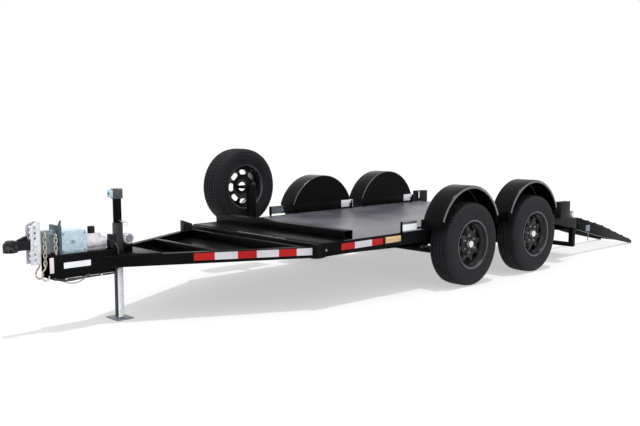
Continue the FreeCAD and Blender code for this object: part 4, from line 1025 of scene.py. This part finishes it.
nose = {
    "hoses": (
        ((3262, 14, 545), (3222, 14, 545), (3212, 66, 530), (3206, 89, 500), (3212, 90, 370), (3240, 88, 338),
         (3330, 76, 336), (3460, 74, 334), (3580, 74, 336), (3650, 72, 342), (3668, 60, 352)),
        ((3262, -14, 545), (3218, -14, 540), (3206, -60, 520), (3200, -70, 490), (3206, -40, 500)),
        ((3420, 84, 350), (3470, 87, 336), (3540, 86, 330), (3600, 87, 332), (3650, 84, 346),
         (3670, 70, 358))),
    "hoseRadius": 6.5,
    "loom": ((3640, 70, 346), (3610, 84, 330), (3570, 86, 314), (3530, 86, 308), (3490, 84, 312),
        (3450, 80, 330), (3430, 70, 345)),
    "loomRadius": 4.5,
    "clips": (3330, 3460, 3580), "clipBox": (64, 83, 328, 344.5),
    "fittings": ((3240, 14, 545), (3240, -14, 545)), "fittingRadius": 15, "fittingLength": 26,
    # junction blocks between the cylinder and the jack, with their edge radius in metres
    "blocks": ((3196, 3226, -26, 46, 465, 590, 0.005), (3204, 3250, 20, 64, 499, 560, 0.006)),
    "strap": (3662, 3690, 80, 83, 388, 488, 0.0012),
    # side of the actuator, its round mark and its screws
    "side": 58, "mark": (3515, 575), "screwsX": (3432, 3580), "screwsZ": (515, 630)}
lines = [(hose, nose["hoseRadius"], "wireBlack") for hose in nose["hoses"]]
lines.append((nose["loom"], nose["loomRadius"], "wireGrey"))
noseParts = [(tubeMesh([at(*spot) for spot in line], radius, look), look) for line, radius, look in lines]
noseParts += [(boxMm(x - 7, x + 7, *nose["clipBox"], 0.002), "zinc") for x in nose["clips"]]
noseParts += [(boltMesh(spot, nose["fittingRadius"], nose["fittingLength"], (1, 0, 0)), "mouldedBlack")
              for spot in nose["fittings"]]
noseParts += [(boxMm(*block), "mouldedBlack") for block in nose["blocks"]]
piece("brake_lines", noseParts)

markX, markZ = nose["mark"]
trim = [(boxMm(*nose["strap"]), "strapPale"),
        (aimed(torusMesh(15, 3), at(markX, nose["side"] + 0.5, markZ), (0, 1, 0)), "wireGrey"),
        (diskMesh((markX, nose["side"], markZ), 8, 3, (0, 1, 0)), "slideGrey")]
trim += [(boltMesh((x, side * nose["side"], z), 7, 5, (0, side, 0)), "slideGrey")
         for x in nose["screwsX"] for z in nose["screwsZ"] for side in (1, -1)]
piece("nose_trim", trim)

# bolts through the channel's flanges where the coupler's shank passes
shank = {"x": 3761, "face": 38, "heights": (548, 582), "bolt": (13, 9)}
piece("coupler_bolts", [
    (boltMesh((shank["x"], side * shank["face"], z), *shank["bolt"], (0, side, 0)), "brightSteel")
    for z in shank["heights"] for side in (1, -1)])

# jack: socket for the handle, ring pin, the round device's face and rim, and the block under it
jack = {"socket": (3194, 3219, -22, 22, 838, 890, 0.004), "bore": (3219, 0, 866), "boreSize": (8, 0.6),
        "pin": (3156, 108, 664), "pinRing": (14, 3), "face": (3092, 36, 551), "faceSize": (24, 5),
        "rim": (3092, 37, 551), "rimRing": (31, 4), "block": (3060, 3130, -16, 30, 465, 520, 0.004)}
piece("jack_trim", [
    (boxMm(*jack["socket"]), "paleZinc"),
    (diskMesh(jack["bore"], *jack["boreSize"], (1, 0, 0)), "mouldedBlack"),
    (aimed(torusMesh(*jack["pinRing"]), at(*jack["pin"]), (0, 1, 0)), "zinc"),
    (diskMesh(jack["face"], *jack["faceSize"], (0, 1, 0)), "slideGrey"),
    (aimed(torusMesh(*jack["rimRing"]), at(*jack["rim"]), (0, 1, 0)), "brightSteel"),
    (boxMm(*jack["block"]), "framePaint")])
print("small parts are on the nose")


# wedge on the far tongue rail, by the deck's corner

wedge = {"ends": ((2075, 505), (2215, 548)), "across": (4, 46), "low": 459}
corners = [at(x, off - tongueFace(x), height)
           for x, top in wedge["ends"] for off in wedge["across"] for height in (wedge["low"], top)]
piece("corner_wedge", [(rounded(hexaMesh(corners), 0.004), "jackPaint")])


# spring clamps: two round bars under each axle, a plate over the leaves and four nuts

clamp = {"half": 37, "bar": 5.5, "spread": 29, "plate": 8, "nut": 10, "nutHeight": 9, "barTop": 20,
         "leaves": 24, "plateSize": (48, 38), "springWidth": 45, "beam": 60}
springTrack = span("leaf_springs")[3] - clamp["springWidth"] / 2
beamLow = span("axle_front")[4]
stackTop = beamLow + clamp["beam"] + clamp["leaves"]
plateTop = stackTop + clamp["plate"]
clampParts = []
for end, x in axles:
    for name, side in sides:
        track = side * springTrack
        for y in (track + clamp["spread"], track - clamp["spread"]):
            bottom, top = beamLow - clamp["bar"], stackTop + clamp["barTop"]
            near, far = x - clamp["half"], x + clamp["half"]
            line = [at(near, y, top), at(near, y, bottom), at(far, y, bottom), at(far, y, top)]
            clampParts.append((tubeMesh(line, clamp["bar"], "zinc", 34), "slideGrey"))
            clampParts += [(boltMesh((spot, y, plateTop), clamp["nut"], clamp["nutHeight"], (0, 0, 1)),
                            "slideGrey") for spot in (far, near)]
        half, across = clamp["plateSize"]
        plate = boxMm(x - half, x + half, track - across, track + across, stackTop, plateTop, 0.001)
        clampParts.append((plate, "framePaint"))
piece("spring_clamps", clampParts)

# bolts through the spring eyes, and their nuts
eyes = {"places": (-798, 798, -138, 138), "width": 57, "rise": 338, "radius": 11, "height": 8}
hangerOuter = span("spring_hangers")[3]
eyeHeight = span("tyre_front_left")[4] + eyes["rise"]
piece("eye_bolts", [
    (boltMesh((x, side * y, eyeHeight), eyes["radius"], eyes["height"], (0, side * way, 0)), "slideGrey")
    for name, side in sides for x in eyes["places"]
    for y, way in ((hangerOuter, 1), (hangerOuter - eyes["width"], -1))])
print("the springs are clamped")


# weld beads, in short runs: by the stop rail, round the jack, at the nose and up the fenders' braces

weld = {"stops": (-640, -320, 0, 320, 640), "half": 30, "jackGap": 2, "jackHeight": 466,
        "noseX": 3225, "noseY": 81, "noseZ": (384, 454), "braces": (383.5, 358.5), "braceZ": (486, 532)}
# each run: two ends and a radius
runs = [((x, y - weld["half"], deckTop), (x, y + weld["half"], deckTop), 4)
        for x in span("stop_rail")[:2] for y in weld["stops"]]
# clear of the bore that the leg rises in
gap = weld["jackGap"]
x0, x1, y0, y1 = [value + grow for value, grow in zip(span("jack_housing"), (-gap, gap, -gap, gap))]
around = [(x, y, weld["jackHeight"]) for x, y in ((x0, y0), (x0, y1), (x1, y1), (x1, y0))]
runs += [(a, b, 3) for a, b in zip(around, around[1:] + around[:1])]
for name, side in sides:
    runs.append((*[(weld["noseX"], side * weld["noseY"], z) for z in weld["noseZ"]], 3))
    for end, x in axles:
        runs += [(*[(x + way * off, side * railFace, z) for z in weld["braceZ"]], 2.5)
                 for way in (1, -1) for off in weld["braces"]]
piece("welds", [
    (beadMesh([at(*a), at(*b)], radius), "framePaint") for a, b, radius in runs])


# tail: ramp cleats and brackets, round latches, bolts, edge plates and lamp marks

tail = {"pivot": -1600, "knee": -2085, "kneeDrop": 118, "top": 381, "tip": -2790, "tipTop": 34, "run": 1190,
        "rungs": 8, "inner": 370, "outer": 770, "cleat": 40, "latchX": -1480, "latchY": 745, "latchZ": 424,
        "bolt": (1939, 430), "plates": ((143, 80), (-788, 70)), "plateTop": 568, "plateFoot": 16,
        "bracket": (-1850, -1768, 222, 286), "pin": (-1805, 9, 128), "pinSize": (5, 100),
        "lampMark": (-1064, -1042, 843.5, 845, 505, 578)}


def rampTop(x):
    # height of the ramps' upper edge
    kneeTop = tail["top"] - tail["kneeDrop"]
    if x > tail["knee"]:
        return tail["top"] - (tail["pivot"] - x) * tail["kneeDrop"] / (tail["pivot"] - tail["knee"])
    return tail["tipTop"] + (x - tail["tip"]) * (kneeTop - tail["tipTop"]) / (tail["knee"] - tail["tip"])


for name, side in sides:
    parts = []
    inner, outer, cleat = tail["inner"], tail["outer"], tail["cleat"]
    for number in range(tail["rungs"]):
        x = tail["pivot"] - tail["run"] * (number + 0.5) / tail["rungs"]
        z = rampTop(x)
        for y in (inner, outer - cleat):
            block = boxMm(x - 16, x + 16, side * y, side * (y + cleat), z - 6, z + 5, 0.002)
            parts.append((block, "framePaint"))
        bar = boxMm(x - 4, x + 4, side * (inner + cleat), side * (outer - cleat), z - 5, z + 4, 0.001)
        parts.append((bar, "framePaint"))
    back, front, low, high = tail["bracket"]
    parts.append((boxMm(back, front, side * outer, side * (outer + 5), low, high, 0.002), "slideGrey"))
    x, off, low = tail["pin"]
    parts.append((diskMesh((x, side * (outer + off), low), *tail["pinSize"], (0, 0, 1)), "slideGrey"))
    piece("ramp_trim_" + name, parts, body=name + "_ramp")
    x, y, z = tail["latchX"], tail["latchY"], tail["latchZ"]
    piece("tail_latch_" + name, [
        (diskMesh((x, side * y, z), 36, 38, (0, side, 0), 40), "slideGrey"),
        (diskMesh((x, side * (y + 38), z), 22, 6, (0, side, 0)), "brightSteel"),
        (boxMm(x - 20, x + 20, side * (y + 3), side * (y + 35), z - 40, z - 24, 0.002), "framePaint")])
    x, z = tail["bolt"]
    piece("corner_bolt_" + name, [
        (boltMesh((x, side * railFace, z), 10, 7, (0, side, 0)), "slideGrey")])
    # upright plates along the deck's edge, beside the fenders
    parts = []
    foot = deckTop + tail["plateFoot"]
    for x, half in tail["plates"]:
        for inner, outer, low, high, soft, look in ((9, 0, deckTop, foot, 0.001, "framePaint"),
                                                    (7, 2, foot, tail["plateTop"], 0.0015, "labelWhite")):
            parts.append((boxMm(x - half, x + half, side * (railFace - inner), side * (railFace - outer),
                                low, high, soft), look))
    piece("edge_plates_" + name, parts)
    back, front, inner, outer, low, high = tail["lampMark"]
    piece("lamp_mark_" + name, [
        (boxMm(back, front, side * inner, side * outer, low, high, 0.0004, 1), "labelWhite")])
print("the tail is dressed")
